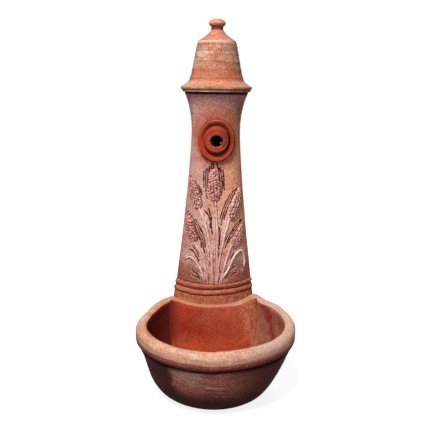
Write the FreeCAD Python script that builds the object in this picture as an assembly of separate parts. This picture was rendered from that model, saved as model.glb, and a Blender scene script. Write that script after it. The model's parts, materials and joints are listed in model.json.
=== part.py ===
import FreeCAD, Part
import math
import os
from FreeCAD import Vector

# A garden wall fountain of fired clay, in millimetres. The wall is the plane y = 0 and the floor is z = 0.
# The front faces -Y, and x = 0 is the middle plane.

# Clearances
seat_gap = 0.3          # between clay pieces that are set against each other
lift_gap = 2.0          # round what lifts out of the column
thread_gap = 0.1        # round a screw, pipe or tail in its hole
overrun = 5.0           # how far a cutting shape runs past what it cuts

# Column: a segment of a circle in plan, so each height has a half width at the wall and a depth
column_top_z = 896.0
waist_z = 770.0
collar_z = 266.0
top_half_width = 100.0
top_depth = 96.0
waist_half_width = 77.0
waist_depth = 74.0
collar_half_width = 128.0
collar_depth = 77.0
foot_half_width = 162.0
foot_depth = 84.0
flare_power = 2.4
skirt_power = 1.317
skirt_steps = 5         # sections from the collar up to the waist
flare_steps = 4         # and from the waist up to the top
column_wall = 16.0
bead_z = 260.0          # the lower bead's middle
bead_pitch = 21.5
bead_height = 19.0
bead_count = 2
bead_relief = 4.0

# Fixing ear on the column's back, under the cap
ear_half_width = 46.0
ear_height = 66.0
ear_corner = 18.0
fixing_spacing = 56.0
fixing_hole_radius = 4.0
fixing_edge = 26.0      # from the top of the ear down to the holes

# Basin
basin_reach = 184.0     # from the wall to the bowl's axis
rim_radius = 226.0      # crest of the rolled rim
rim_top_z = 224.0
roll_radius = 19.0
roll_height = 60.0
belly_radius = 209.0    # the outer wall's two middle control points
belly_z = 110.0
heel_radius = 198.0
heel_z = 4.0
basin_foot_radius = 132.0
basin_wall = 15.0
back_wall = 30.0
back_wall_bevel = 6.0
floor_radius = 100.0
floor_thickness = 14.0
recess_depth = 26.0
recess_radius = 84.0

# Cap: half of a turned bell, each height from the part of the cap below it
cap_rim_radius = 110.3
cap_rim_height = 16.0
cap_under_radius = 103.0
shoulder_radius = 59.5
bell_height = 131.2     # from the rim's top to the shoulder
bell_low_pole = (74.2, 14.6)    # radius, and height above the rim's top
bell_high_pole = (82.6, 34.6)
cap_wall = 13.0
neck_radius = 18.2
neck_height = 37.5      # from the shoulder to the neck
shoulder_bulge = 3.0
lip_height = 10.0
lip_thickness = 9.0

# Knob on the cap
knob_radius = 25.8
knob_mid_height = 18.0  # from the neck to the knob's widest turn
knob_height = 31.5

# Spout rosette
spout_z = 750.0
ring_half_height = 65.0
ring_half_width = 57.5
ring_tube = 16.0
ring_relief = 9.0
boss_half_height = 44.5
boss_half_width = 40.0
boss_relief = 12.0
spout_hole_radius = 17.5
moulding_round = 5.0

# Wheat relief, each point as x across and height above the relief's foot
relief_gap = 6.0        # from the upper bead to the relief's foot
ear_relief = 7.0
ear_sink = 3.0          # how far the ear's edges run on into the column
ear_stations = 6
ear_blunt = 0.08        # how blunt the ear's ends are
ear_swell = 0.75        # power of the swell along the ear
ears = {
    "ear_centre": ((2.0, 259.0), (-3.0, 371.0), 18.0),
    "ear_upper_left": ((-54.0, 243.0), (-79.0, 331.0), 14.0),
    "ear_upper_right": ((45.0, 206.0), (79.0, 309.0), 15.0),
    "ear_lower_left": ((-68.0, 133.0), (-92.0, 215.0), 13.0),
    "ear_lower_right": ((57.0, 117.0), (92.0, 189.0), 14.0),
}
stalk_half_width = 2.6
stalk_relief = 3.2
stalk_arcs = [
    ((2.0, 261.0), (5.0, 131.0), (2.0, 0.0)),
    ((-54.0, 245.0), (-21.0, 148.0), (-14.0, 0.0)),
    ((45.0, 211.0), (21.0, 108.0), (6.0, 0.0)),
    ((-68.0, 138.0), (-41.0, 83.0), (-25.0, 0.0)),
    ((56.0, 122.0), (32.0, 69.0), (14.0, 0.0)),
    ((-8.0, 108.0), (-12.0, 61.0), (-13.0, 0.0)),
]
blade_half_width = 3.2
blade_arcs = [
    ((22.0, 0.0), (42.0, 59.0), (71.0, 95.0)),
    ((71.0, 95.0), (90.0, 89.0), (96.0, 43.0)),
    ((-35.0, 0.0), (-46.0, 41.0), (-67.0, 74.0)),
    ((-67.0, 74.0), (-80.0, 77.0), (-92.0, 64.0)),
]

# Water feed inside the column
pipe_radius = 7.5
pipe_wall = 1.0
pipe_reach = 18.0       # from the back slab to the pipe's axis
pipe_tail_z = 12.0
bead_rise = 28.0        # from the pipe's lower end to its rolled bead
bead_out = 1.0
bead_length = 3.0
elbow_drop = 28.0       # from the spout's axis down to the elbow's lower end
elbow_radius = 11.0
elbow_socket_radius = 14.0
elbow_socket_reach = 18.0
socket_bore_radius = 9.3
socket_depth = 14.0
waterway_radius = 5.5
pipe_seat = 14.0
flange_radius = 27.0
flange_thickness = 3.0
flange_screws = 3
flange_screw_circle = 20.0
nut_flats = 24.0
nut_height = 12.0
clip_z = 150.0
clip_height = 12.0
clip_ring = 3.0
clip_plate_width = 24.0
clip_plate_height = 46.0
clip_plate = 3.0
clip_post_radius = 4.0
clip_screw_spacing = 32.0
screw_radius = 2.0
screw_length = 15.0
screw_head_radius = 3.8
screw_head_height = 2.4

# Basin waste
waste_flange_radius = 32.0
waste_flange = 3.0
waste_tail_radius = 20.0
waste_spigot_radius = 19.0
waste_spigot = 11.0     # length of the narrower end that the drain's socket takes
waste_tail_z = 2.0
waste_bore_radius = 15.5
waste_hole_gap = 1.0
washer_radius = 30.0
washer_thickness = 2.5
waste_nut_flats = 52.0
waste_nut_height = 9.5
plug_depth = 14.0
plug_taper = 1.2
plug_head_radius = 21.0
plug_head = 4.0
plug_grip_radius = 7.0
plug_stem_radius = 4.2
plug_grip_height = 16.0
plug_gap = 0.3


def block(x_low, x_high, y_low, y_high, z_low, z_high):
    corner = Vector(x_low, y_low, z_low)
    return Part.makeBox(x_high - x_low, y_high - y_low, z_high - z_low, corner)


def rod(radius, start, end):
    return Part.makeCylinder(radius, (end - start).Length, start, end - start)


def hex_nut(flats, height, bottom):
    corner = flats / math.sqrt(3.0)
    points = []
    for turn in range(7):
        angle = math.radians(60.0 * turn)
        points.append(bottom + Vector(corner * math.cos(angle), corner * math.sin(angle), 0))
    return Part.Face(Part.makePolygon(points)).extrude(Vector(0, 0, height))


def turned(edges, axis_y):
    # a full turn of a closed outline drawn in the XZ plane
    outline = Part.Face(Part.Wire(edges))
    solid = outline.revolve(Vector(0, 0, 0), Vector(0, 0, 1), 360)
    solid.translate(Vector(0, axis_y, 0))
    return solid


def in_front_of(solid, y):
    box = solid.BoundBox
    keep = block(box.XMin - overrun, box.XMax + overrun, box.YMin - overrun, y,
                 box.ZMin - overrun, box.ZMax + overrun)
    return solid.common(keep)


def between(solid, z_low, z_high):
    box = solid.BoundBox
    keep = block(box.XMin - overrun, box.XMax + overrun, box.YMin - overrun, box.YMax + overrun,
                 z_low, z_high)
    return solid.common(keep)


def at_height(z, foot, collar, waist, top):
    # straight from foot to collar, then a power curve in to the waist and another out to the top
    if z > waist_z:
        return waist + (top - waist) * ((z - waist_z) / (column_top_z - waist_z)) ** flare_power
    if z > collar_z:
        return waist + (collar - waist) * ((waist_z - z) / (waist_z - collar_z)) ** skirt_power
    return collar + (foot - collar) * (collar_z - z) / collar_z


def column_circle(z):
    # the plan circle's radius, and how far its centre lies behind the wall
    half_width = at_height(z, foot_half_width, collar_half_width, waist_half_width, top_half_width)
    depth = at_height(z, foot_depth, collar_depth, waist_depth, top_depth)
    radius = (half_width ** 2 + depth ** 2) / (2 * depth)
    return radius, radius - depth


def face_point(x, z, lift=0.0):
    # the point on the column's front at x and z, moved out by lift
    radius, centre_y = column_circle(z)
    reach = radius + lift
    return Vector(x * reach / radius, centre_y - math.sqrt(radius ** 2 - x ** 2) * reach / radius, z)


def face_normal(x, z):
    radius, centre_y = column_circle(z)
    return (face_point(x, z) - Vector(0, centre_y, z)).normalize()


def column_section(z, grow, back_y):
    radius, centre_y = column_circle(z)
    radius += grow
    half = math.sqrt(radius ** 2 - (back_y - centre_y) ** 2)
    left = Vector(-half, back_y, z)
    right = Vector(half, back_y, z)
    front = Vector(0, centre_y - radius, z)
    return Part.Wire([Part.Arc(left, front, right).toShape(), Part.makeLine(right, left)])


def section_heights():
    heights = [-overrun, collar_z / 2, collar_z]
    for step in range(1, skirt_steps):
        heights.append(collar_z + (waist_z - collar_z) * step / skirt_steps)
    for step in range(flare_steps):
        heights.append(waist_z + (column_top_z - waist_z) * step / flare_steps)
    return heights + [column_top_z, column_top_z + overrun]


def column_body(grow, back_y=0.0):
    # the column's outline grown by a distance all round, from under the floor to above its top
    sections = [column_section(z, grow, back_y + overrun) for z in section_heights()]
    return in_front_of(Part.makeLoft(sections, True, False), back_y)


def spout_hole():
    start = Vector(0, -column_wall - pipe_reach - elbow_socket_reach - overrun / 2, spout_z)
    return rod(spout_hole_radius, start, Vector(0, -2 * waist_depth, spout_z))


def make_bead(z):
    radius, centre_y = column_circle(z)
    tube = bead_height / 2
    torus = Part.makeTorus(radius + bead_relief - tube, tube, Vector(0, centre_y, z))
    return in_front_of(torus, 0.0)


def fixing_height():
    return column_top_z + ear_height - fixing_edge


def fixing_ear():
    # an upright plate with round upper corners that stands on the column's back
    top = column_top_z + ear_height
    side = ear_half_width
    turn = ear_corner * (1 - math.sqrt(0.5))
    low_left = Vector(-side, 0, column_top_z - overrun)
    low_right = Vector(side, 0, column_top_z - overrun)
    right = Vector(side, 0, top - ear_corner)
    left = Vector(-side, 0, top - ear_corner)
    top_right = Vector(side - ear_corner, 0, top)
    top_left = Vector(ear_corner - side, 0, top)
    outline = Part.Wire([
        Part.makeLine(low_left, low_right),
        Part.makeLine(low_right, right),
        Part.Arc(right, Vector(side - turn, 0, top - turn), top_right).toShape(),
        Part.makeLine(top_right, top_left),
        Part.Arc(top_left, Vector(turn - side, 0, top - turn), left).toShape(),
        Part.makeLine(left, low_left),
    ])
    return Part.Face(outline).extrude(Vector(0, -column_wall, 0))


def make_column(outer):
    body = between(outer, 0.0, column_top_z)
    for number in range(bead_count):
        body = body.fuse(make_bead(bead_z + bead_pitch * number))
    body = body.cut(column_body(-column_wall, -column_wall))
    body = body.fuse(fixing_ear()).removeSplitter()
    for side in (-1, 1):
        hole = Vector(side * fixing_spacing / 2, overrun, fixing_height())
        body = body.cut(rod(fixing_hole_radius, hole, hole - Vector(0, column_wall + 2 * overrun, 0)))
    for screw in elbow_screw_places() + clip_screw_places():
        body = body.cut(screw_shank(screw, thread_gap))
    return body.cut(spout_hole())


def basin_outline():
    # outer wall from the foot up to the rim's crest
    straight = roll_height / 2 - roll_radius
    low_z = rim_top_z - roll_radius - 2 * straight
    high_z = rim_top_z - roll_radius
    turn = roll_radius * math.sqrt(0.5)
    under = Vector(rim_radius + turn, 0, low_z - turn)
    foot = Vector(basin_foot_radius, 0, 0)
    wall = Part.BezierCurve()
    wall.setPoles([foot, Vector(heel_radius, 0, heel_z), Vector(belly_radius, 0, belly_z), under])
    bend = roll_radius * math.sin(math.radians(22.5))
    reach = roll_radius * math.cos(math.radians(22.5))
    low_side = Vector(rim_radius + roll_radius, 0, low_z)
    high_side = Vector(rim_radius + roll_radius, 0, high_z)
    crest = Vector(rim_radius, 0, rim_top_z)
    return [
        Part.makeLine(Vector(0, 0, 0), foot),
        wall.toShape(),
        Part.Arc(under, Vector(rim_radius + reach, 0, low_z - bend), low_side).toShape(),
        Part.makeLine(low_side, high_side),
        Part.Arc(high_side, Vector(rim_radius + turn, 0, high_z + turn), crest).toShape(),
        Part.makeLine(crest, Vector(0, 0, rim_top_z)),
        Part.makeLine(Vector(0, 0, rim_top_z), Vector(0, 0, 0)),
    ]


def floor_z():
    return recess_depth + floor_thickness


def hollow_outline():
    # inner wall from the floor up to the rim's crest, and on above the rim
    straight = roll_height / 2 - roll_radius
    low_z = rim_top_z - roll_radius - 2 * straight
    high_z = rim_top_z - roll_radius
    turn = roll_radius * math.sqrt(0.5)
    low_side = Vector(rim_radius - roll_radius, 0, low_z)
    high_side = Vector(rim_radius - roll_radius, 0, high_z)
    foot = Vector(floor_radius, 0, floor_z())
    heel = Vector(heel_radius - basin_wall, 0, floor_z())
    belly = Vector(belly_radius - basin_wall, 0, belly_z)
    wall = Part.BezierCurve()
    wall.setPoles([foot, heel, belly, low_side])
    crest = Vector(rim_radius, 0, rim_top_z)
    above = Vector(rim_radius, 0, rim_top_z + overrun)
    middle = Vector(0, 0, rim_top_z + overrun)
    return [
        Part.makeLine(Vector(0, 0, floor_z()), foot),
        wall.toShape(),
        Part.makeLine(low_side, high_side),
        Part.Arc(high_side, Vector(rim_radius - turn, 0, high_z + turn), crest).toShape(),
        Part.makeLine(crest, above),
        Part.makeLine(above, middle),
        Part.makeLine(middle, Vector(0, 0, floor_z())),
    ]


def back_wall_body():
    # the column's outline grown by the back wall, with a bevel below the rim's top
    wall = between(column_body(back_wall), -overrun, rim_top_z - back_wall_bevel)
    low = column_section(rim_top_z - back_wall_bevel, back_wall, 0.0)
    high = column_section(rim_top_z, back_wall - back_wall_bevel, 0.0)
    return wall.fuse(Part.makeLoft([low, high], True, True))


def make_basin():
    bowl = turned(basin_outline(), -basin_reach)
    hollow = turned(hollow_outline(), -basin_reach).cut(back_wall_body())
    recess = rod(recess_radius, Vector(0, -basin_reach, -overrun), Vector(0, -basin_reach, recess_depth))
    drain_hole = rod(waste_tail_radius + waste_hole_gap, Vector(0, -basin_reach, 0),
                     Vector(0, -basin_reach, floor_z() + overrun))
    bowl = in_front_of(bowl, 0.0).cut(hollow).cut(recess).cut(drain_hole)
    return bowl.cut(column_body(seat_gap, overrun))


def cap_low_z():
    return column_top_z + seat_gap


def cap_rim_z():
    return cap_low_z() + cap_rim_height


def shoulder_z():
    return cap_rim_z() + bell_height


def neck_z():
    return shoulder_z() + neck_height


def bell_pole(pole, inset):
    return Vector(pole[0] - inset, 0, cap_rim_z() + pole[1])


def cap_outline():
    low = cap_low_z()
    turn = cap_rim_radius - cap_under_radius
    under = Vector(cap_under_radius, 0, low)
    rim_low = Vector(cap_rim_radius, 0, low + turn)
    rim_high = Vector(cap_rim_radius, 0, cap_rim_z())
    bell_top = Vector(shoulder_radius, 0, shoulder_z())
    bell = Part.BezierCurve()
    bell.setPoles([rim_high, bell_pole(bell_low_pole, 0), bell_pole(bell_high_pole, 0), bell_top])
    neck = Vector(neck_radius, 0, neck_z())
    lean = (bell_top + neck) * 0.5 + Vector(shoulder_bulge, 0, shoulder_bulge)
    corner = turn * (1 - math.sqrt(0.5))
    return [
        Part.makeLine(Vector(0, 0, low), under),
        Part.Arc(under, Vector(cap_rim_radius - corner, 0, low + corner), rim_low).toShape(),
        Part.makeLine(rim_low, rim_high),
        bell.toShape(),
        Part.Arc(bell_top, lean, neck).toShape(),
        Part.makeLine(neck, Vector(0, 0, neck_z())),
        Part.makeLine(Vector(0, 0, neck_z()), Vector(0, 0, low)),
    ]


def cap_mouth_radius():
    return top_depth - column_wall - lift_gap - lip_thickness


def cap_hollow_outline():
    low = cap_low_z()
    mouth = Vector(cap_mouth_radius(), 0, low)
    roof = Vector(shoulder_radius - cap_wall, 0, shoulder_z() - cap_wall)
    bell = Part.BezierCurve()
    bell.setPoles([mouth, bell_pole(bell_low_pole, cap_wall), bell_pole(bell_high_pole, cap_wall), roof])
    middle = Vector(0, 0, roof.z + cap_wall / 2)
    below = Vector(mouth.x, 0, low - overrun)
    return [
        bell.toShape(),
        Part.makeLine(roof, middle),
        Part.makeLine(middle, Vector(0, 0, below.z)),
        Part.makeLine(Vector(0, 0, below.z), below),
        Part.makeLine(below, mouth),
    ]


def cap_lip():
    # a rib under the cap that stands inside the column's mouth and keeps the cap from sliding
    back_y = -column_wall - lift_gap
    outside = column_body(-column_wall - lift_gap, back_y)
    inside = column_body(-column_wall - lift_gap - lip_thickness, back_y + overrun)
    return between(outside.cut(inside), column_top_z - lip_height, cap_low_z() + lift_gap)


def make_cap():
    cap = turned(cap_outline(), 0.0).cut(turned(cap_hollow_outline(), 0.0))
    return in_front_of(cap, 0.0).fuse(cap_lip()).removeSplitter()


def make_knob():
    low = neck_z()
    high = low + knob_height
    neck = Vector(neck_radius, 0, low)
    side = Vector(knob_radius, 0, low + knob_mid_height)
    top = Vector(0, 0, high)
    under = Part.BezierCurve()
    under.setPoles([neck, Vector(neck_radius, 0, low + knob_mid_height / 2),
                    Vector(knob_radius, 0, low + knob_mid_height / 2), side])
    over = Part.BezierCurve()
    over.setPoles([side, Vector(knob_radius, 0, high), Vector(knob_radius / 2, 0, high), top])
    outline = [
        Part.makeLine(Vector(0, 0, low), neck),
        under.toShape(),
        over.toShape(),
        Part.makeLine(top, Vector(0, 0, low)),
    ]
    return in_front_of(turned(outline, 0.0), 0.0)


def oval_bar(centre, along, across):
    # an oval drawn on the wall plane and run forward through the column
    oval = Part.Ellipse(centre + along, centre + across, centre)
    return Part.Face(Part.Wire([oval.toShape()])).extrude(Vector(0, -2 * top_depth, 0))


def spout_oval(half_width, half_height):
    return oval_bar(Vector(0, 0, spout_z), Vector(0, 0, half_height), Vector(half_width, 0, 0))


def outer_round(solid, grow, radius):
    # rounds the closed edges that lie on the column's outline grown by a distance
    edges = []
    for edge in solid.Edges:
        point = edge.valueAt((edge.FirstParameter + edge.LastParameter) / 2)
        circle_radius, centre_y = column_circle(point.z)
        away = math.hypot(point.x, point.y - centre_y) - circle_radius
        if abs(away - grow) < seat_gap:
            edges.append(edge)
    return solid.makeFillet(radius, edges)


def make_ring(outer):
    ring = spout_oval(ring_half_width, ring_half_height)
    ring = ring.cut(spout_oval(ring_half_width - ring_tube, ring_half_height - ring_tube))
    ring = ring.common(column_body(ring_relief)).cut(outer)
    return outer_round(ring, ring_relief, min(moulding_round, 0.4 * ring_tube))


def make_boss(outer):
    boss = spout_oval(boss_half_width, boss_half_height).common(column_body(boss_relief)).cut(outer)
    boss = outer_round(boss, boss_relief, moulding_round)
    return boss.cut(spout_hole())


def relief_foot():
    return bead_z + bead_pitch * (bead_count - 1) + bead_height / 2 + relief_gap


def relief_point(place):
    return face_point(place[0], relief_foot() + place[1])


def ear_section(x, z, along, half_width, height):
    # a lens across the ear, with its lower half inside the column
    centre = face_point(x, z)
    normal = face_normal(x, z)
    side = along.cross(normal).normalize() * half_width
    sunk = normal * -ear_sink
    left = centre - side + sunk
    right = centre + side + sunk
    upper = Part.Arc(left, centre + normal * height, right)
    lower = Part.Arc(right, centre + sunk * 2, left)
    return Part.Wire([upper.toShape(), lower.toShape()])


def make_ear(outer, base, tip, half_width):
    along = relief_point(tip) - relief_point(base)
    sections = []
    for station in range(ear_stations + 1):
        way = station / ear_stations
        swell = math.sin(math.pi * (ear_blunt + (1 - 2 * ear_blunt) * way)) ** ear_swell
        x = base[0] + (tip[0] - base[0]) * way
        z = relief_foot() + base[1] + (tip[1] - base[1]) * way
        sections.append(ear_section(x, z, along, half_width * swell, ear_relief * swell))
    return Part.makeLoft(sections, True, False).cut(outer)


def strip(arc, half_width):
    # a band of even width along an arc through three points of the XZ plane, run forward
    start, middle, end = [Vector(x, 0, relief_foot() + height) for x, height in arc]
    circle = Part.Arc(start, middle, end).toShape().Curve
    centre = circle.Center
    edges = []
    for shift in (-half_width, half_width):
        points = [centre + (p - centre) * (1 + shift / circle.Radius) for p in (start, middle, end)]
        edges.append(points)
    low, high = edges
    outline = Part.Wire([
        Part.Arc(*low).toShape(),
        Part.makeLine(low[2], high[2]),
        Part.Arc(high[2], high[1], high[0]).toShape(),
        Part.makeLine(high[0], low[0]),
    ])
    return Part.Face(outline).extrude(Vector(0, -2 * collar_depth, 0))


def make_strips(arcs, half_width, skin, others):
    bars = strip(arcs[0], half_width)
    for arc in arcs[1:]:
        bars = bars.fuse(strip(arc, half_width))
    relief = bars.common(skin)
    for other in others:
        relief = relief.cut(other)
    return relief


def pipe_axis(z):
    return Vector(0, -column_wall - pipe_reach, z)


def screw_shank(place, gap):
    # place is where the shank enters the back slab
    tip = place + Vector(0, screw_length - clip_plate, 0)
    return rod(screw_radius + gap, place - Vector(0, flange_thickness + overrun / 2, 0), tip)


def make_screw(place, plate):
    seat = place - Vector(0, plate, 0)
    head = rod(screw_head_radius, seat - Vector(0, screw_head_height, 0), seat)
    shank = rod(screw_radius, seat, place + Vector(0, screw_length - clip_plate, 0))
    return head.fuse(shank).removeSplitter()


def elbow_screw_places():
    places = []
    for number in range(flange_screws):
        angle = math.radians(90.0 + 360.0 * number / flange_screws)
        places.append(Vector(flange_screw_circle * math.cos(angle), -column_wall,
                             spout_z + flange_screw_circle * math.sin(angle)))
    return places


def clip_screw_places():
    return [Vector(0, -column_wall, clip_z + side * clip_screw_spacing / 2) for side in (-1, 1)]


def make_elbow():
    axis = pipe_axis(spout_z)
    mouth = axis - Vector(0, elbow_socket_reach, 0)
    plate_back = Vector(0, -column_wall, spout_z)
    plate_front = plate_back - Vector(0, flange_thickness, 0)
    low = pipe_axis(spout_z - elbow_drop)
    body = rod(elbow_radius, low, axis).fuse(Part.makeSphere(elbow_socket_radius, axis))
    body = body.fuse(rod(elbow_socket_radius, plate_front, mouth))
    body = body.fuse(rod(flange_radius, plate_back, plate_front))
    body = body.cut(rod(socket_bore_radius, mouth, mouth + Vector(0, socket_depth, 0)))
    body = body.cut(rod(waterway_radius, mouth, axis)).cut(rod(waterway_radius, low, axis))
    body = body.cut(rod(pipe_radius + thread_gap, low, low + Vector(0, 0, pipe_seat + thread_gap)))
    for place in elbow_screw_places():
        body = body.cut(screw_shank(place, thread_gap))
    return body.removeSplitter()


def make_elbow_nut():
    bottom = pipe_axis(spout_z - elbow_drop - nut_height)
    top = pipe_axis(spout_z - elbow_drop)
    return hex_nut(nut_flats, nut_height, bottom).cut(rod(pipe_radius + thread_gap, bottom, top))


def make_pipe():
    low = pipe_axis(pipe_tail_z)
    high = pipe_axis(spout_z - elbow_drop + pipe_seat)
    bead_low = pipe_axis(pipe_tail_z + bead_rise)
    bead = rod(pipe_radius + bead_out, bead_low, bead_low + Vector(0, 0, bead_length))
    pipe = rod(pipe_radius, low, high).fuse(bead)
    return pipe.cut(rod(pipe_radius - pipe_wall, low, high))


def make_clip():
    axis_low = pipe_axis(clip_z - clip_height / 2)
    axis_high = pipe_axis(clip_z + clip_height / 2)
    plate = block(-clip_plate_width / 2, clip_plate_width / 2, -column_wall - clip_plate, -column_wall,
                  clip_z - clip_plate_height / 2, clip_z + clip_plate_height / 2)
    post = rod(clip_post_radius, Vector(0, -column_wall - clip_plate / 2, clip_z), pipe_axis(clip_z))
    ring = rod(pipe_radius + thread_gap + clip_ring, axis_low, axis_high)
    clip = plate.fuse(post).fuse(ring).cut(rod(pipe_radius + thread_gap, axis_low, axis_high))
    for place in clip_screw_places():
        clip = clip.cut(screw_shank(place, thread_gap))
    return clip.removeSplitter()


def waste_axis(z):
    return Vector(0, -basin_reach, z)


def make_waste():
    top = floor_z() + waste_flange
    flange = rod(waste_flange_radius, waste_axis(floor_z()), waste_axis(top))
    spigot_top = waste_axis(waste_tail_z + waste_spigot)
    tail = rod(waste_tail_radius, spigot_top, waste_axis(top))
    spigot = rod(waste_spigot_radius, waste_axis(waste_tail_z), spigot_top)
    bore = rod(waste_bore_radius, waste_axis(waste_tail_z), waste_axis(top))
    return flange.fuse(tail).fuse(spigot).cut(bore).removeSplitter()


def make_washer():
    low = waste_axis(recess_depth - washer_thickness)
    high = waste_axis(recess_depth)
    return rod(washer_radius, low, high).cut(rod(waste_tail_radius + thread_gap, low, high))


def make_waste_nut():
    low = waste_axis(recess_depth - washer_thickness - waste_nut_height)
    high = waste_axis(recess_depth - washer_thickness)
    nut = hex_nut(waste_nut_flats, waste_nut_height, low)
    return nut.cut(rod(waste_tail_radius + thread_gap, low, high))


def make_plug():
    seat = floor_z() + waste_flange + plug_gap
    body_radius = waste_bore_radius - plug_gap
    head = rod(plug_head_radius, waste_axis(seat), waste_axis(seat + plug_head))
    body = Part.makeCone(body_radius - plug_taper, body_radius, plug_depth, waste_axis(seat - plug_depth))
    grip_top = waste_axis(seat + plug_head + plug_grip_height)
    grip = rod(plug_stem_radius, waste_axis(seat), grip_top - Vector(0, 0, plug_grip_radius / 2))
    knob = Part.makeSphere(plug_grip_radius, grip_top - Vector(0, 0, plug_grip_radius))
    return head.fuse(body).fuse(grip).fuse(knob).removeSplitter()


def make_parts():
    outer = column_body(0.0)
    parts = {
        "basin": make_basin(),
        "column": make_column(outer),
        "cap": make_cap(),
        "cap_knob": make_knob(),
        "spout_ring": make_ring(outer),
        "spout_boss": make_boss(outer),
        "feed_pipe": make_pipe(),
        "feed_elbow": make_elbow(),
        "elbow_screws": Part.makeCompound([make_screw(p, flange_thickness) for p in elbow_screw_places()]),
        "elbow_nut": make_elbow_nut(),
        "pipe_clip": make_clip(),
        "clip_screws": Part.makeCompound([make_screw(p, clip_plate) for p in clip_screw_places()]),
        "drain_flange": make_waste(),
        "drain_washer": make_washer(),
        "drain_nut": make_waste_nut(),
        "drain_plug": make_plug(),
    }
    grown = {}
    for name, (base, tip, width) in ears.items():
        grown[name] = make_ear(outer, base, tip, width)
    parts.update(grown)
    skin = column_body(stalk_relief).cut(outer)
    parts["wheat_stems"] = make_strips(stalk_arcs, stalk_half_width, skin, list(grown.values()))
    parts["wheat_leaves"] = make_strips(blade_arcs, blade_half_width, skin,
                                        [parts["wheat_stems"]] + list(grown.values()))
    return parts


os.makedirs("parts", exist_ok=True)
for name, shape in make_parts().items():
    solids = shape.Solids
    print(name, len(solids), "solids", round(shape.Volume / 1000, 1), "cm3", "valid", shape.isValid())
    if len(solids) == 1:
        shape = solids[0]
    shape.exportStep("parts/" + name + ".step")
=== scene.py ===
import json
import math

import bpy
import numpy as np
from mathutils import Matrix


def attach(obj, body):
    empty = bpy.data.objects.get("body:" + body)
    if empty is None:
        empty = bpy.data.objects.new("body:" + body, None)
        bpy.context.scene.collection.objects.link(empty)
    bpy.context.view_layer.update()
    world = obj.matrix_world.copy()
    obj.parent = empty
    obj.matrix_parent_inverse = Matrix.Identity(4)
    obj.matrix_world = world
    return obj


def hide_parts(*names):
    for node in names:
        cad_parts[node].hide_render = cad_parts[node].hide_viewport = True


# A garden wall fountain of fired clay, in metres: the wall is y = 0, the floor is z = 0, the front faces -Y.

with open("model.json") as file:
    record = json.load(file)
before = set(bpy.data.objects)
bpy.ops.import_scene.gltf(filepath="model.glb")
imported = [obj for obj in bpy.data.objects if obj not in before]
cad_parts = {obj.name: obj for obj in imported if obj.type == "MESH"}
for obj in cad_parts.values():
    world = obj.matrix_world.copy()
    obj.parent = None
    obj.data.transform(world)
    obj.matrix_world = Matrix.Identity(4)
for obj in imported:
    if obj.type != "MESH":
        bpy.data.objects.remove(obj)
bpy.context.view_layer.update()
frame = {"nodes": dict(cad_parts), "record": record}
nodes = frame["nodes"]
print("frame loaded:", len(nodes), "nodes")

# The column's plan at each height is a piece of a circle that stands before the wall.
column = {
    "topZ": 0.896, "waistZ": 0.770, "collarZ": 0.266,
    "topHalf": 0.100, "waistHalf": 0.077, "collarHalf": 0.128, "footHalf": 0.162,
    "topDepth": 0.096, "waistDepth": 0.074, "collarDepth": 0.077, "footDepth": 0.084,
    "flarePower": 2.4, "skirtPower": 1.317, "wall": 0.016,
}


# Surfaces on grids

def wallOfFaces(rows, columns, wrapRows, wrapColumns):
    # four-sided faces between neighbouring points of a grid, closed on itself where asked
    index = np.arange(rows * columns).reshape(rows, columns)
    if wrapRows:
        index = np.vstack([index, index[:1]])
    if wrapColumns:
        index = np.hstack([index, index[:, :1]])
    corners = [index[:-1, :-1], index[:-1, 1:], index[1:, 1:], index[1:, :-1]]
    return np.stack(corners, -1).reshape(-1, 4)


def volumeOf(points, faces):
    # a sixth of the sum, over all triangles, of the box product of their corners
    total = 0.0
    for step in range(1, faces.shape[1] - 1):
        a, b, c = points[faces[:, 0]], points[faces[:, step]], points[faces[:, step + 1]]
        total += np.einsum("ij,ij->i", a, np.cross(b, c)).sum() / 6
    return total


def makePiece(name, grids, lids=False, sharpAngle=40):
    # each grid is a closed shape: its columns wrap round, and its rows do too or else end in two lids
    points, faces, offset = [], [], 0
    for grid in grids:
        rows, columns = grid.shape[:2]
        flat = grid.reshape(-1, 3)
        parts = [wallOfFaces(rows, columns, not lids, True)]
        if lids:
            first = np.arange(columns)
            parts += [first[::-1][None], (first + (rows - 1) * columns)[None]]
        inwards = sum(volumeOf(flat, part) for part in parts) <= 0
        for part in parts:
            faces += ((part[:, ::-1] if inwards else part) + offset).tolist()
        points.append(flat)
        offset += len(flat)
    mesh = bpy.data.meshes.new(name)
    mesh.from_pydata(np.vstack(points).tolist(), [], faces)
    mesh.validate()
    piece = bpy.data.objects.new(name, mesh)
    bpy.context.scene.collection.objects.link(piece)
    finishShading(piece, sharpAngle)
    return piece


def finishShading(piece, sharpAngle):
    mesh = piece.data
    mesh.polygons.foreach_set("use_smooth", np.ones(len(mesh.polygons), dtype=bool))
    mesh.set_sharp_from_angle(angle=math.radians(sharpAngle))
    mesh.update()


def spot(x, y, z):
    # points from their three measures, each a number or an array
    return np.stack(np.broadcast_arrays(x, y, z), -1)


def pointsOf(piece):
    flat = np.empty(len(piece.data.vertices) * 3)
    piece.data.vertices.foreach_get("co", flat)
    return flat.reshape(-1, 3)


def addMask(piece, name, values):
    # a value from 0 to 1 at each point, for the material to read
    layer = piece.data.attributes.new(name, "FLOAT", "POINT")
    layer.data.foreach_set("value", np.clip(values, 0, 1).astype(np.float32).ravel())


def joinShapes(piece, tools, operation):
    # adds or cuts away other closed shapes, then drops them
    for tool in tools:
        change = piece.modifiers.new(operation.lower(), "BOOLEAN")
        change.operation = operation
        change.solver = "EXACT"
        change.object = tool
        bpy.context.view_layer.update()
        solid = piece.evaluated_get(bpy.context.evaluated_depsgraph_get())
        mesh = bpy.data.meshes.new_from_object(solid)
        piece.modifiers.clear()
        piece.data = mesh
        bpy.data.objects.remove(tool)


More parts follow.
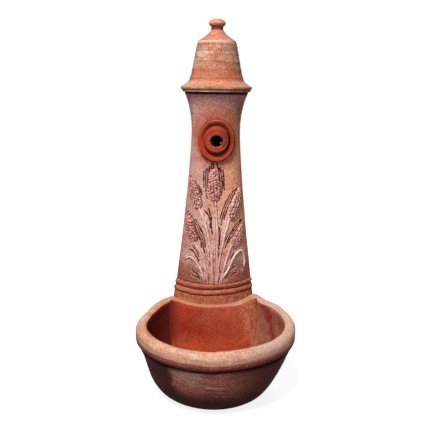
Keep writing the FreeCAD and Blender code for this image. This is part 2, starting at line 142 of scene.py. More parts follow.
def bar(name, radius, start, end, sides=48):
    # a round bar from start to end: circles across its own direction, with lids
    ends = np.array([start, end])[:, None, :]
    along = (ends[1] - ends[0])[0]
    along = along / np.linalg.norm(along)
    side = np.cross(along, [0.31, 0.42, 0.85])     # any direction that isn't the bar's own
    side /= np.linalg.norm(side)
    angle = np.linspace(0, 2 * np.pi, sides, endpoint=False)[None, :, None]
    circle = np.cos(angle) * side + np.sin(angle) * np.cross(along, side)
    return makePiece(name, [ends + radius * circle], True)


def wobble(points, size, seed):
    # smooth random values from -1 to 1: a lattice of random numbers, size apart, blended between its corners
    lattice = np.random.default_rng(seed).uniform(-1, 1, (32, 32, 32))
    cell = np.asarray(points) / size + 64
    low = np.floor(cell).astype(int)
    part = smooth(cell - low)
    total = 0.0
    for corner in range(8):
        shift = np.array([corner & 1, corner >> 1 & 1, corner >> 2])
        weight = np.prod(np.where(shift == 1, part, 1 - part), axis=-1)
        x, y, z = np.moveaxis((low + shift) % 32, -1, 0)
        total = total + weight * lattice[x, y, z]
    return total


def ramp(value, start, end):
    # 0 before start, 1 past end, and a straight line between; end may lie below start
    return np.clip((value - start) / (end - start), 0, 1)


def hill(value, place, width):
    # a bell curve: 1 at the place, and about a third of that one width away
    return np.exp(-((value - place) / width) ** 2)


def smooth(way):
    # three squares less two cubes: eases out of 0 and into 1
    return way * way * (3 - 2 * way)


def bezier(poles, count):
    # a cubic curve through its first and last pole, drawn towards the middle two
    way = np.linspace(0, 1, count)[:, None]
    a, b, c, d = [np.array(pole) for pole in poles]
    return a * (1 - way) ** 3 + 3 * b * way * (1 - way) ** 2 + 3 * c * way ** 2 * (1 - way) + d * way ** 3


def arc(centre, radius, startAngle, endAngle, count):
    # points on a circle of the section plane, between two angles in degrees
    angle = np.radians(np.linspace(startAngle, endAngle, count))
    return np.stack([centre[0] + radius * np.cos(angle), centre[1] + radius * np.sin(angle)], -1)


def bend(start, corner, end, count):
    # the curve that leaves start towards corner and arrives at end, without its two ends
    way = ((np.arange(count) + 1) / (count + 1))[None, :, None]
    return start * (1 - way) ** 2 + corner * 2 * way * (1 - way) + end * way ** 2


def smoothLine(points, spacing):
    # a Catmull-Rom line through the points, at about even spacing
    points = np.array(points, dtype=float)
    before = np.vstack([2 * points[0] - points[1], points[:-1]])
    after = np.vstack([points[1:], 2 * points[-1] - points[-2]])
    lean = (after - before) / 2
    way = np.linspace(0, 1, 16, endpoint=False)[None, :, None]
    a, b, c, d = points[:-1, None], points[1:, None], lean[:-1, None], lean[1:, None]
    dense = ((2 * way ** 3 - 3 * way ** 2 + 1) * a + (way ** 3 - 2 * way ** 2 + way) * c
             + (3 * way ** 2 - 2 * way ** 3) * b + (way ** 3 - way ** 2) * d).reshape(-1, points.shape[1])
    dense = np.vstack([dense, points[-1:]])
    length = np.r_[0, np.cumsum(np.linalg.norm(np.diff(dense, axis=0), axis=1))]
    stations = np.linspace(0, length[-1], max(3, int(length[-1] / spacing) + 1))
    return np.stack([np.interp(stations, length, dense[:, k]) for k in range(points.shape[1])], -1)


# The column's face

def columnPlan(z):
    # plan radius at each height, and how far its centre lies behind the wall; it flares above the waist,
    # spreads below it down to the collar, and goes straight on from there to the foot
    c = column
    up = np.clip((z - c["waistZ"]) / (c["topZ"] - c["waistZ"]), 0, None) ** c["flarePower"]
    down = ramp(z, c["waistZ"], c["collarZ"]) ** c["skirtPower"]
    foot = np.clip((c["collarZ"] - z) / c["collarZ"], 0, None)
    half, depth = [c["waist" + way] + (c["top" + way] - c["waist" + way]) * up
                   + (c["collar" + way] - c["waist" + way]) * down + (c["foot" + way] - c["collar" + way]) * foot
                   for way in ("Half", "Depth")]
    radius = (half ** 2 + depth ** 2) / (2 * depth)
    return radius, radius - depth


def onFace(across, z, lift):
    # across is measured along the face from its middle line, lift is out from it
    radius, centreY = columnPlan(z)
    turn = across / radius
    return spot((radius + lift) * np.sin(turn), centreY - (radius + lift) * np.cos(turn), z)


# The wheat's place on the face: how the plant leans, and between which heights the clay is carved and swells
relief = {
    "shift": 0.0025, "lean": 0.0180, "leanFrom": 0.30, "low": 0.296, "high": 0.70,
    "swellLow": (0.296, 0.316), "swellHigh": (0.62, 0.52),
}


def alongFace(places):
    # places as (x, z) in millimetres, turned to (across, z) in metres
    x, z = np.array(places, dtype=float).T / 1000
    x = x + relief["shift"] - relief["lean"] * (z - relief["leanFrom"])
    radius, _ = columnPlan(z)
    return np.stack([radius * np.arcsin(np.clip(x / radius, -0.98, 0.98)), z], -1)


def distanceTo(across, z, lines):
    # least distance from each point of the face to any piece of the lines
    least = np.full(np.shape(across), 1.0)
    for line in lines:
        for start, end in zip(line[:-1], line[1:]):
            step = end - start
            right, up = across - start[0], z - start[1]
            way = np.clip((right * step[0] + up * step[1]) / max(step @ step, 1e-12), 0, 1)
            least = np.minimum(least, np.hypot(right - way * step[0], up - way * step[1]))
    return least


# Lines cut into the clay round the wheat: depths and widths in metres, places in millimetres across and up
cuts = {
    "awnDepth": 0.0024, "awnWidth": 0.0023, "awnGap": 0.0068, "longAwn": 14, "secondStroke": (0.12, 0.85),
    "edgeGap": 0.0036, "edgeWidth": 0.0013, "edgeRise": 0.0006,
    "stemEdge": 0.0042, "stemEdgeWidth": 0.0011, "stemEdgeDepth": 0.0010, "stemEdgeShade": 0.75,
    "awns": [
        [(-10, 688), (-10, 663)], [(-4, 688), (-4, 663)], [(6, 684), (9, 671), (12, 658)],
        [(-34, 652), (-35, 622)], [(-27, 664), (-29, 630), (-28, 594)], [(-22, 664), (-22, 637)],
        [(17, 668), (22, 640), (23, 612), (22, 582)], [(27, 644), (28, 608)],
        [(-28, 588), (-25, 571)], [(12, 668), (17, 650)], [(-16, 672), (-17, 655)],
        [(57, 592), (48, 569), (40, 555), (35, 543), (27, 522), (22, 505), (20, 487)],
        [(64, 590), (55, 573)], [(70, 596), (64, 583)], [(84, 606), (57, 592)], [(36, 527), (29, 513)],
        [(91, 496), (74, 480), (65, 471), (53, 453), (42, 442), (38, 428), (33, 413)],
        [(86, 497), (80, 489)], [(60, 468), (48, 455)], [(46, 440), (39, 422)],
        [(-72, 506), (-65, 493), (-58, 481), (-51, 463), (-46, 451), (-41, 441), (-39, 425), (-38, 412),
         (-34, 394)],
        [(-48, 477), (-41, 464), (-37, 452)], [(-55, 448), (-49, 437), (-44, 424)],
        [(-96, 505), (-84, 522)], [(-87, 504), (-78, 516)], [(-80, 500), (-73, 512)],
        [(-61, 622), (-55, 606), (-47, 592), (-42, 580)], [(-70, 628), (-64, 615)], [(-80, 624), (-75, 638)],
        [(-86, 612), (-84, 628)], [(-52, 612), (-45, 598), (-40, 584)],
    ],
    "bladeDepth": 0.0024, "bladeWidth": 0.0025,
    "blades": [
        [(-32, 532), (-21, 518), (-15, 500), (-15, 478)], [(-20, 540), (-15, 522), (-11, 505), (-13, 480)],
        [(-12, 482), (-9, 458)], [(13, 480), (16, 462), (14, 430), (12, 410)],
        [(-72, 412), (-62, 401), (-56, 391), (-53, 381)],
        [(-82, 400), (-70, 395), (-63, 383), (-56, 373), (-53, 366)],
        [(-76, 332), (-63, 325), (-52, 314)], [(-75, 315), (-58, 312), (-50, 306)],
        [(60, 393), (54, 383), (49, 374)], [(66, 346), (58, 343), (50, 336)], [(71, 326), (61, 324), (51, 315)],
        [(42, 322), (33, 308)],
    ],
    "moundHeight": 0.0022, "moundWidth": 0.0085,
}
stems = {
    "halfWidth": 0.0037, "relief": 0.0042, "endShare": 0.6, "spacing": 0.003, "taper": 0.12, "sunk": -0.0022,
    "skin": 0.0003,
    "routes": [
        [(1, 568), (4, 514), (7, 453), (5, 390), (2, 293)],
        [(-52, 545), (-38, 512), (-26, 473), (-19, 436), (-13, 389), (-12, 342), (-15, 293)],
        [(45, 512), (38, 481), (30, 458), (25, 432), (13, 374), (5, 293)],
        [(-70, 432), (-61, 418), (-51, 404), (-44, 387), (-38, 367), (-32, 347), (-26, 325), (-26, 293)],
        [(56, 424), (49, 414), (41, 393), (35, 375), (30, 356), (24, 331), (20, 314), (13, 293)],
        [(-10, 408), (-11, 358), (-9, 293)],
    ],
}
leaves = {
    "halfWidth": 0.0036, "relief": 0.0040, "endShare": 0.35, "spacing": 0.003, "taper": 0.12, "sunk": -0.0022,
    "skin": 0.0003,
    "routes": [
        [(18, 293), (25, 317), (35, 331), (44, 347), (49, 359), (56, 374), (64, 386), (73, 394), (82, 397),
         (89, 389), (93, 377), (95, 361), (94, 338)],
        [(-99, 362), (-83, 375), (-73, 374), (-63, 366), (-53, 351), (-46, 340), (-41, 321), (-34, 293)],
    ],
}


def reliefLines(routes, spacing=0.004):
    return [smoothLine(alongFace(route), spacing) for route in routes]


def besideLine(line, gap, start, end):
    # a second stroke beside a cut: part of the line, moved sideways
    lean = np.gradient(line, axis=0)
    side = np.stack([lean[:, 1], -lean[:, 0]], -1) / np.linalg.norm(lean, axis=1)[:, None]
    first, last = int(start * len(line)), max(int(end * len(line)), int(start * len(line)) + 2)
    return (line + gap * side)[first:last]


bundle = reliefLines(stems["routes"] + leaves["routes"], 0.006)
awnCuts = reliefLines(cuts["awns"])
awnCuts += [besideLine(line, side * cuts["awnGap"], *cuts["secondStroke"])
            for line in awnCuts if len(line) > cuts["longAwn"] for side in (-1, 1)]
bladeCuts = reliefLines(cuts["blades"])


def cutDepth(across, z):
    # how deep the cut lines are, a rounded V along each, how dark they are painted as shade inside the cut, and how
    # pale their raised edges are painted as highlight
    fromAwn, fromBlade = distanceTo(across, z, awnCuts), distanceTo(across, z, bladeCuts)
    awn, blade = hill(fromAwn, 0, cuts["awnWidth"]), hill(fromBlade, 0, cuts["bladeWidth"])
    edge = hill(distanceTo(across, z, bundle), cuts["stemEdge"], cuts["stemEdgeWidth"])
    depth = cuts["awnDepth"] * awn + cuts["bladeDepth"] * blade + cuts["stemEdgeDepth"] * edge
    pale = hill(np.minimum(fromAwn, fromBlade), cuts["edgeGap"], cuts["edgeWidth"])
    dark = np.maximum(np.maximum(awn, blade), cuts["stemEdgeShade"] * edge)
    return depth - cuts["edgeRise"] * pale, dark, pale


def swelling(z):
    # the clay rises under the stalks, between the beads and the upper ears
    return cuts["moundHeight"] * ramp(z, *relief["swellLow"]) * ramp(z, *relief["swellHigh"])


# Column

beads = {
    "places": (0.2600, 0.2815), "tube": 0.0095, "relief": 0.0036, "grooves": (0.2510, 0.2708, 0.2910),
    "grooveWidth": 0.0020, "grooveDepth": 0.0013, "rise": 0.0028, "slope": 0.026, "slopeReach": (-0.11, 0.10),
    "waver": 0.0007, "waverSize": 0.03, "fadeTop": (0.300, 0.288), "fadeLow": (0.225, 0.245),
    "footSpread": 0.0032, "footFade": (0.287, 0.257), "footReach": 0.13,
}
columnSkin = {
    "columns": 200, "backColumns": 10, "corner": 0.0025, "edge": 0.0020, "handWave": 0.0011, "handSize": 0.075,
    "skinWave": 0.00028, "skinSize": 0.014, "calm": (0.30, 0.33), "calmLeast": 0.25,
    "beadRows": (0.2385, 0.300, 0.0015), "reliefRows": (0.300, 0.700, 0.0016), "topStep": 0.003,
}
spoutHole = {"radius": 0.0175, "z": 0.750, "nearY": -0.0555, "farY": -0.2}
# the rosette's oval ring and boss round the spout hole; a section runs from inside to outside as (share, lift)
rosette = {
    "ringZ": 0.752, "ringHalf": (0.0575, 0.065), "ringTube": 0.0165, "turns": 160,
    "bossHalf": (0.0395, 0.0430), "bossRise": 0.0035, "sectionStep": 0.0007,
    "ringSection": [(-1.0, -0.002), (-1.0, -0.0005), (-0.85, 0.0012), (-0.5, 0.0040), (-0.1, 0.0072),
                    (0.25, 0.0094), (0.5, 0.0100), (0.72, 0.0093), (0.9, 0.0068), (1.0, 0.0030), (1.0, -0.002)],
    "bossSection": [(1.00, -0.002), (1.00, 0.0010), (0.985, 0.0040), (0.94, 0.0066), (0.87, 0.0084), (0.76, 0.0104),
                    (0.64, 0.0124), (0.56, 0.0132), (0.50, 0.0126), (0.46, 0.0118), (0.40, 0.0121), (0.28, 0.0124),
                    (0.16, 0.0124), (0.07, 0.0118), (0.02, 0.0104), (0.0, 0.0080), (0.0, -0.002)],
}
# where the masks for the column's colours begin and end
columnMarks = {
    "skin": 0.004, "low": 0.292, "raisedWidth": 0.013, "grooveShade": 0.80, "underCapShadow": (0.884, 0.894),
    "topShade": 0.9, "topEnd": 0.897, "holeRadius": 0.0185, "holeY": -0.03, "ringGrooveShadow": (1.06, 0.96),
    "halo": (1.70, 1.10),
}


def beadLevel(across, z):
    # the beads were drawn by hand: a little higher at the middle and on the right than their plain height
    waver = beads["waver"] * wobble(spot(across, 0, 0), beads["waverSize"], 6)
    rise = beads["rise"] + beads["slope"] * np.clip(across, *beads["slopeReach"]) + waver
    return z - rise * ramp(z, *beads["fadeTop"]) * ramp(z, *beads["fadeLow"])


def grooveShade(across, z):
    # how far a place lies in one of the lines turned beside the beads
    return sum(hill(beadLevel(across, z), place, beads["grooveWidth"]) for place in beads["grooves"])


def faceLift(across, z):
    # the modelled height of the column's front over its plain circle
    s = columnSkin
    lift = np.zeros(np.shape(across))
    level = beadLevel(across, z)
    for place in beads["places"]:
        tube = np.sqrt(np.clip(beads["tube"] ** 2 - (level - place) ** 2, 0, None))
        lift = np.maximum(lift, tube - beads["tube"] + beads["relief"])
    lift = lift - beads["grooveDepth"] * grooveShade(across, z)
    lift = lift + beads["footSpread"] * ramp(z, *beads["footFade"]) * ramp(-across, 0, beads["footReach"])
    inRelief = (z > relief["low"]) & (z < relief["high"])
    near = across[inRelief], z[inRelief]
    mound, deep = np.zeros_like(lift), np.zeros_like(lift)
    mound[inRelief] = hill(distanceTo(*near, bundle), 0, cuts["moundWidth"])
    deep[inRelief] = cutDepth(*near)[0]
    place = spot(across, 0, z)
    calm = np.maximum(ramp(z, *s["calm"]), s["calmLeast"])
    hand = s["handWave"] * calm * (0.5 + 0.5 * wobble(place, s["handSize"], 3))
    return lift + swelling(z) * mound - deep - hand + s["skinWave"] * wobble(place, s["skinSize"], 4)


def dRings(z, grow, backY, lift):
    # each ring is the plan circle grown by a distance, closed along a straight back with rounded corners
    s = columnSkin
    radius, centreY = columnPlan(z)
    radius = radius + grow
    half = np.sqrt(radius ** 2 - (backY - centreY) ** 2)
    turn = np.arcsin(half / radius) - s["corner"] / radius
    angle = np.linspace(-1, 1, s["columns"])[None] * turn[:, None]
    reach = radius[:, None] + (lift(angle * radius[:, None], z[:, None] + 0 * angle) if lift else 0)
    front = spot(reach * np.sin(angle), centreY[:, None] - reach * np.cos(angle), z[:, None])
    tip, inner = spot(half, backY, z)[:, None], spot(half - s["corner"], backY, z)[:, None]
    other = np.array([-1.0, 1, 1])
    right = bend(front[:, -1:], tip, inner, 3)
    across = np.linspace(1, -1, s["backColumns"])[None] * (half - s["corner"])[:, None]
    back = spot(across, backY[:, None], z[:, None])
    left = right[:, ::-1] * other
    left[:, -1:] = bend(front[:, :1], tip * other, inner * other, 3)[:, :1]
    return np.concatenate([front, right, back, left], 1)


def columnShell():
    # rings up the outside, over the top edge, down the inside and back to the foot
    top, wall, edge = column["topZ"], column["wall"], columnSkin["edge"]
    z = np.concatenate([
        np.linspace(0.002, 0.236, 20), np.arange(*columnSkin["beadRows"]), np.arange(*columnSkin["reliefRows"]),
        np.arange(columnSkin["reliefRows"][1], top - edge, columnSkin["topStep"])])
    outer = dRings(z, 0 * z, 0 * z, faceLift)
    lipZ = np.array([top - 0.3 * edge, top])
    lip = dRings(lipZ, np.array([-0.3, -1.0]) * edge, 0 * lipZ, None)
    mouthZ = np.array([top, top - 0.3 * edge, top - edge])
    mouthGrow = np.array([edge, 0.3 * edge, 0.0]) - wall
    mouth = dRings(mouthZ, mouthGrow, mouthGrow, None)
    innerZ = np.linspace(top - 0.01, 0.0, 18)
    inner = dRings(innerZ, -wall + 0 * innerZ, -wall + 0 * innerZ, None)
    floorZ = np.array([0.0])
    foot = dRings(floorZ, floorZ - 0.3 * edge, floorZ, None)
    return np.concatenate([outer, lip, mouth, inner, foot])


fixingTab = {
    "half": 0.046, "top": 0.962, "corner": 0.018, "low": 0.880, "holeRadius": 0.004, "holeZ": 0.936, "spacing": 0.056,
    "edge": 0.0015,
}


def tabShell():
    # an upright plate: a rectangle with two round upper corners, with softened front and back edges
    t = fixingTab
    side, top, turn = t["half"], t["top"], t["corner"]
    upper = arc((side - turn, top - turn), turn, 0, 90, 9)
    outline = np.vstack([[side, t["low"]], upper, upper[::-1] * [-1, 1], [-side, t["low"]]])
    centre = np.array([0, (top + t["low"]) / 2])
    rings = []
    for inset, y in ((0.5, 0), (t["edge"], 0), (0, -t["edge"]), (0, t["edge"] - column["wall"]),
                     (t["edge"], -column["wall"]), (0.5, -column["wall"])):
        flat = centre + (outline - centre) * (1 - min(inset / side, 0.9))
        rings.append(spot(flat[:, 0], y, flat[:, 1]))
    return np.stack(rings)


def buildColumn():
    piece = makePiece("columnBody", [columnShell()])
    joinShapes(piece, [makePiece("tab", [tabShell()], True)], "UNION")
    t, hole, marks = fixingTab, spoutHole, columnMarks
    tools = [bar("hole", t["holeRadius"], (x, 0.01, t["holeZ"]), (x, -0.03, t["holeZ"]))
             for x in (-t["spacing"] / 2, t["spacing"] / 2)]
    tools.append(bar("hole", hole["radius"], (0, hole["nearY"], hole["z"]), (0, hole["farY"], hole["z"])))
    joinShapes(piece, tools, "DIFFERENCE")
    finishShading(piece, 42)
    x, y, z = pointsOf(piece).T
    radius, centreY = columnPlan(z)
    across = radius * np.arctan2(x, centreY - y)
    onFront = (np.hypot(x, centreY - y) > radius - marks["skin"]) & (y < -marks["skin"])
    near = onFront & (z > marks["low"]) & (z < relief["high"])
    paintedShade, pale, raised = np.zeros((3, len(z)))
    _, paintedShade[near], pale[near] = cutDepth(across[near], z[near])
    raised[near] = hill(distanceTo(across[near], z[near], bundle), 0, marks["raisedWidth"])
    # painted shade in the grooves turned beside the beads
    grooves = onFront * marks["grooveShade"] * grooveShade(across, z)
    # a painted shadow band where the cap's rim overhangs the column's top
    underCapShadow = onFront * (z < marks["topEnd"]) * np.minimum(ramp(z, *marks["underCapShadow"]), marks["topShade"])
    # the spout hole's inside painted black as shade
    inHole = (np.hypot(x, z - hole["z"]) < marks["holeRadius"]) & (y < marks["holeY"])
    oval = np.hypot(across / rosette["ringHalf"][0], (z - rosette["ringZ"]) / rosette["ringHalf"][1])
    # painted shade in the cut lines, the bead grooves, under the cap's rim and in the spout hole
    addMask(piece, "paintedShade", np.maximum.reduce([paintedShade, grooves, underCapShadow, 1.0 * inHole]))
    # painted highlight on the raised edges beside the cut lines
    addMask(piece, "pale", pale)
    # painted shadow in the groove between the rosette's ring and boss
    addMask(piece, "ringGrooveShadow", onFront * ramp(oval, *marks["ringGrooveShadow"]))
    addMask(piece, "halo", onFront * ramp(oval, *marks["halo"]))
    addMask(piece, "raised", raised)
    addMask(piece, "inside", 1.0 - onFront)
    return piece


columnPiece = buildColumn()
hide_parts("column")
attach(columnPiece, "root")
print("column:", len(columnPiece.data.polygons), "faces")


# Basin: a bowl cut off by the wall, with a thick back wall that follows the column's face

basin = {
    "axisY": -0.184, "rimRadius": 0.226, "rollRadius": 0.019, "rimTop": 0.224, "rollLow": 0.183,
    "outerPoles": [(0.2394, 0.1695), (0.2090, 0.110), (0.198, 0.004), (0.132, 0.0)],
    "innerPoles": [(0.100, 0.0415), (0.184, 0.0410), (0.196, 0.110), (0.2072, 0.183)],
    "leftHorn": 0.0062, "rightHorn": 0.0015, "hornReach": 0.15, "hornPeak": 0.0040, "peakX": 0.120,
    "peakWidth": 0.022, "dipBack": 0.0055, "dipFront": -0.0035, "dipFrom": 0.020, "dipTo": 0.110,
    "flatten": 0.0095, "flattenTurn": -73, "flattenSpread": 19,
    "raise": 0.0048, "raiseTurn": 152, "raiseSpread": 30,
    "pinch": 0.0060, "pinchDrop": 0.0045, "pinchTurn": 50, "pinchSpread": 8,
    "recessRadius": 0.084, "recessZ": 0.026, "floorZ": 0.040, "holeRadius": 0.021,
    "backWall": 0.030, "backBevel": 0.006, "bevelShare": 0.22, "flatShare": 0.90, "seatGap": 0.0003,
    "floorFillet": 0.014, "floorFall": 0.0015,
    "undercut": 0.0070, "undercutZ": 0.1665, "undercutHeight": 0.0038,
    "wave": 0.0022, "waveSize": 0.095, "dent": 0.0008, "dentSize": 0.028,
    "lean": 0.0055, "arcColumns": 30, "bowlColumns": 110, "creaseRound": 0.013, "wallCorner": 0.003,
    "cornerSide": 0.010, "clearTurn": 0.16, "levelSpan": 0.25,
}


def basinProfile():
    # rows of (radius, height on the bowl, growth of the column's outline, height at the back wall)
    b = basin
    r, roll, top, low = b["rimRadius"], b["rollRadius"], b["rimTop"], b["rollLow"]
    hole, recess, gap, wall, fall = b["holeRadius"], b["recessZ"], b["seatGap"], b["backWall"], b["floorFall"]
    high = top - roll

    def run(section, grow, wallZ=None):
        section = np.array(section, dtype=float)
        grow = np.broadcast_to(grow, len(section))
        return np.column_stack([section, grow, section[:, 1] if wallZ is None else wallZ])

    def upright(radius, start, end):
        return np.stack([np.full(3, radius), np.linspace(start, end, 5)[1:-1]], -1)

    way = np.linspace(0, 1, 20)
    floorRadius = hole + fall + (b["innerPoles"][0][0] - hole - fall) * way
    floorLine = np.stack([floorRadius, b["floorZ"] + fall * way ** 2], -1)
    # over the top the growth falls from the back wall's face to the gap at the column
    over = np.linspace(0, 1, 31)
    lift = np.clip(over / b["bevelShare"], 0, 1) * np.pi / 2
    bevelGrow = wall - b["backBevel"] * (1 - np.cos(lift))
    flatGrow = (wall - b["backBevel"]) * ramp(over, b["flatShare"], b["bevelShare"])
    overGrow = np.where(over < b["bevelShare"], bevelGrow, np.maximum(flatGrow, gap))
    overZ = top - b["backBevel"] * (1 - np.sin(lift)) - 0.004 * ramp(over, b["flatShare"], 1)
    return np.vstack([
        run([(hole, recess + 0.001), (hole, b["floorZ"] - 0.001)], wall),
        run(floorLine, wall + b["floorFillet"] * (1 - ramp(way, 0.35, 1))),
        run(bezier(b["innerPoles"], 58)[1:], wall),
        run(upright(r - roll, low, high), wall),
        run(arc((r, high), roll, 180, 0, 31), overGrow, overZ),
        run(np.vstack([upright(r + roll, high, low), arc((r, low), roll, 0, -42, 9)]), gap,
            np.linspace(top - 0.006, low - 0.002, 12)),
        run(bezier(b["outerPoles"], 56)[1:], gap),
        run([(b["recessRadius"] + 0.001, 0.0), (b["recessRadius"], 0.001), (b["recessRadius"], recess - 0.001),
             (0.06, recess), (0.04, recess), (hole + 0.001, recess)], gap)])


def basinRings(profile):
    # each ring: along the column's grown circle, round the crease, along the wall, round the bowl to the front
    b = basin
    radius, bowlZ, grow, wallZ = profile.T
    outside = np.arange(len(radius)) > np.argmax(bowlZ)
    radius = radius - outside * b["undercut"] * hill(bowlZ, b["undercutZ"], b["undercutHeight"])
    plan, centreY = columnPlan(np.clip(wallZ, 0, 0.3))
    plan = plan + grow
    toAxis = centreY - b["axisY"]
    reachY = (toAxis ** 2 + radius ** 2 - plan ** 2) / (2 * toAxis)
    clear = radius <= toAxis - plan + 0.0005
    reachY = np.where(clear, radius * 0.999, np.minimum(reachY, radius * 0.999))
    depth = -b["axisY"]
    meetsWall = (reachY > depth) & ~clear
    crossX = np.where(meetsWall, np.sqrt(np.clip(plan ** 2 - centreY ** 2, 0, None)),
                      np.sqrt(np.clip(radius ** 2 - reachY ** 2, 1e-8, None)))
    crossY = np.where(meetsWall, 0.0, b["axisY"] + reachY)
    crossX = np.where(clear, radius * np.sin(b["clearTurn"]), crossX)
    crossY = np.where(clear, b["axisY"] + radius * np.cos(b["clearTurn"]), crossY)
    crossTurn = np.arctan2(crossX, crossY - b["axisY"])
    wallX = np.sqrt(np.clip(radius ** 2 - depth ** 2, 0, None))
    flat = np.where(meetsWall, np.clip(wallX - crossX, 0, None), 0.0)
    wallTurn = np.where(meetsWall, np.arctan2(np.maximum(wallX, 1e-6), depth), crossTurn)
    least = np.minimum(b["cornerSide"], 0.16 * radius)
    bowlTurn = wallTurn + np.clip(least - flat, 0, None) / radius
    cornerX = np.where(flat >= least, wallX, radius * np.sin(bowlTurn))
    cornerY = np.where(flat >= least, 0.0, b["axisY"] + radius * np.cos(bowlTurn))
    soft = np.where(clear, 0.001, np.minimum(b["creaseRound"], 0.45 * np.maximum(flat, least)))
    rim = np.minimum(b["wallCorner"], 0.3 * least)
    way = np.linspace(0, 1, b["arcColumns"])[None]
    turn = way * (np.arcsin(np.clip(crossX / plan, -1, 1)) - soft / plan)[:, None]
    columnArc = spot(plan[:, None] * np.sin(turn), centreY[:, None] - plan[:, None] * np.cos(turn), wallZ[:, None])
    turn = way * (crossTurn - soft / radius)[:, None]
    clearArc = spot(radius[:, None] * np.sin(turn), b["axisY"] + radius[:, None] * np.cos(turn), wallZ[:, None])
    first = np.where(clear[:, None, None], clearArc, columnArc)
    crossing = spot(crossX, crossY, wallZ)[:, None]
    corner = spot(cornerX, cornerY, bowlZ)[:, None]
    span = corner - crossing
    length = np.linalg.norm(span[..., :2], axis=-1)[..., None]
    leave = crossing + span * (soft[:, None, None] / length)
    arrive = corner - span * (rim[:, None, None] / length)
    crease = bend(first[:, -1:], crossing, leave, 7)
    middle = leave + (arrive - leave) * np.linspace(0, 1, 5)[None, :, None]
    bowlStart = (bowlTurn + rim / radius)[:, None]
    turn = bowlStart + (np.pi - bowlStart) * np.linspace(0, 1, b["bowlColumns"])[None]
    bowl = spot(radius[:, None] * np.sin(turn), b["axisY"] + radius[:, None] * np.cos(turn), bowlZ[:, None])
    half = np.concatenate([first, crease, middle, bend(arrive, corner, bowl[:, :1], 2), bowl], 1)
    rings = np.concatenate([half, half[:, -2:0:-1] * np.array([-1.0, 1, 1])], 1)
    # 1 on the back wall, fading through the crease
    onWall = np.clip((b["arcColumns"] + 3 - np.arange(half.shape[1])) / 4, 0, 1)
    onWall = np.concatenate([onWall, onWall[-2:0:-1]])
    return rings, onWall, outside


def gridNormals(grid):
    # out of the surface, from the cross product of the steps to the neighbours
    down = np.roll(grid, -1, 0) - np.roll(grid, 1, 0)
    along = np.roll(grid, -1, 1) - np.roll(grid, 1, 1)
    normal = np.cross(along, down)
    return normal / np.maximum(np.linalg.norm(normal, axis=-1, keepdims=True), 1e-9)


def buildBasin():
    b = basin
    profile = basinProfile()
    rings, onWall, outside = basinRings(profile)
    offWall = 1 - onWall[None]
    x, y, z = np.moveaxis(rings, -1, 0)
    level = z.copy()
    away = np.hypot(x, y - b["axisY"])
    normal = gridNormals(rings)
    facing = normal[..., 0] * x + normal[..., 1] * (y - b["axisY"])
    if np.median(facing[np.argmax(away.max(1))]) < 0:
        normal = -normal
    # the clay is a little uneven, though not at the wall, the foot and the drain, or where it lies on the column
    seat = outside[:, None] & (onWall[None] > 0.99)
    loose = ramp(-y, 0.004, 0.034) * ramp(z, 0, 0.03) * ramp(away, 0.06, 0.11) * ~seat
    push = b["wave"] * (0.5 + 0.5 * wobble(rings, b["waveSize"], 11))
    push = push + b["dent"] * (0.5 + 0.5 * wobble(rings, b["dentSize"], 12))
    rings = rings - normal * (push * loose)[..., None]
    x, y, z = np.moveaxis(rings, -1, 0)     # views: what follows moves the rings' own points
    tilt = np.where(x < 0, b["leftHorn"], b["rightHorn"]) * np.clip(x / b["hornReach"], -1, 1)
    z += ramp(y, b["axisY"], 0) * ramp(z, 0.15, 0.20) * (tilt + b["hornPeak"] * hill(x, b["peakX"], b["peakWidth"]))
    # the rim stands a little high at the wall and dips towards the sides and front
    sag = b["dipBack"] + (b["dipFront"] - b["dipBack"]) * smooth(ramp(-y, b["dipFrom"], b["dipTo"]))
    z += sag * ramp(z, 0.06, 0.18)
    # pressed a little flat on the left behind the widest place, lifted at the front on the right,
    # and drawn in where the rim meets the wall on the right
    turned = np.degrees(np.arctan2(x, y - b["axisY"]))
    high = ramp(z, 0.05, 0.17) * ramp(away, 0.15, 0.19)
    squeeze = b["flatten"] * hill(turned, b["flattenTurn"], b["flattenSpread"]) * high
    x -= squeeze * np.sin(np.radians(turned))
    y -= squeeze * np.cos(np.radians(turned))
    z += b["raise"] * hill(turned, b["raiseTurn"], b["raiseSpread"]) * high
    pinch = hill(turned, b["pinchTurn"], b["pinchSpread"]) * high * offWall
    x -= b["pinch"] * pinch
    z -= b["pinchDrop"] * pinch
    # the lower bowl leans to the left, away from the seam at the column
    x -= (b["lean"] * ramp(z, 0.120, 0.045) * ramp(away, 0.095, 0.125) * outside[:, None] * offWall
          * ramp(-y, 0.004, 0.054))
    rings[..., 1] = np.minimum(y, 0)
    rings[..., 2] = np.maximum(z, 0)
    piece = makePiece("basinBowl", [rings], False, 50)
    # the raw inside ends some way up the rim's inner slope, and on the wall at the front of its top
    towardsCrease = np.clip((b["arcColumns"] - 1 - np.arange(len(onWall))) / 7, 0, 1)
    towardsCrease = np.maximum(towardsCrease, np.roll(towardsCrease[::-1], 1))
    last = np.argmax(profile[:, 1]) - 9 + 5.5 * towardsCrease[None] + 1.2 * wobble(rings, 0.04, 15)
    addMask(piece, "trough", last - np.arange(len(rings))[:, None] + 0.5)
    addMask(piece, "level", level / b["levelSpan"])
    addMask(piece, "backWall", ~outside[:, None] * onWall[None])
    return piece


basinPiece = buildBasin()
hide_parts("basin")
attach(basinPiece, "root")
print("basin:", len(basinPiece.data.polygons), "faces")


# Cap: half of a turned bell with a loose lip below, and its knob

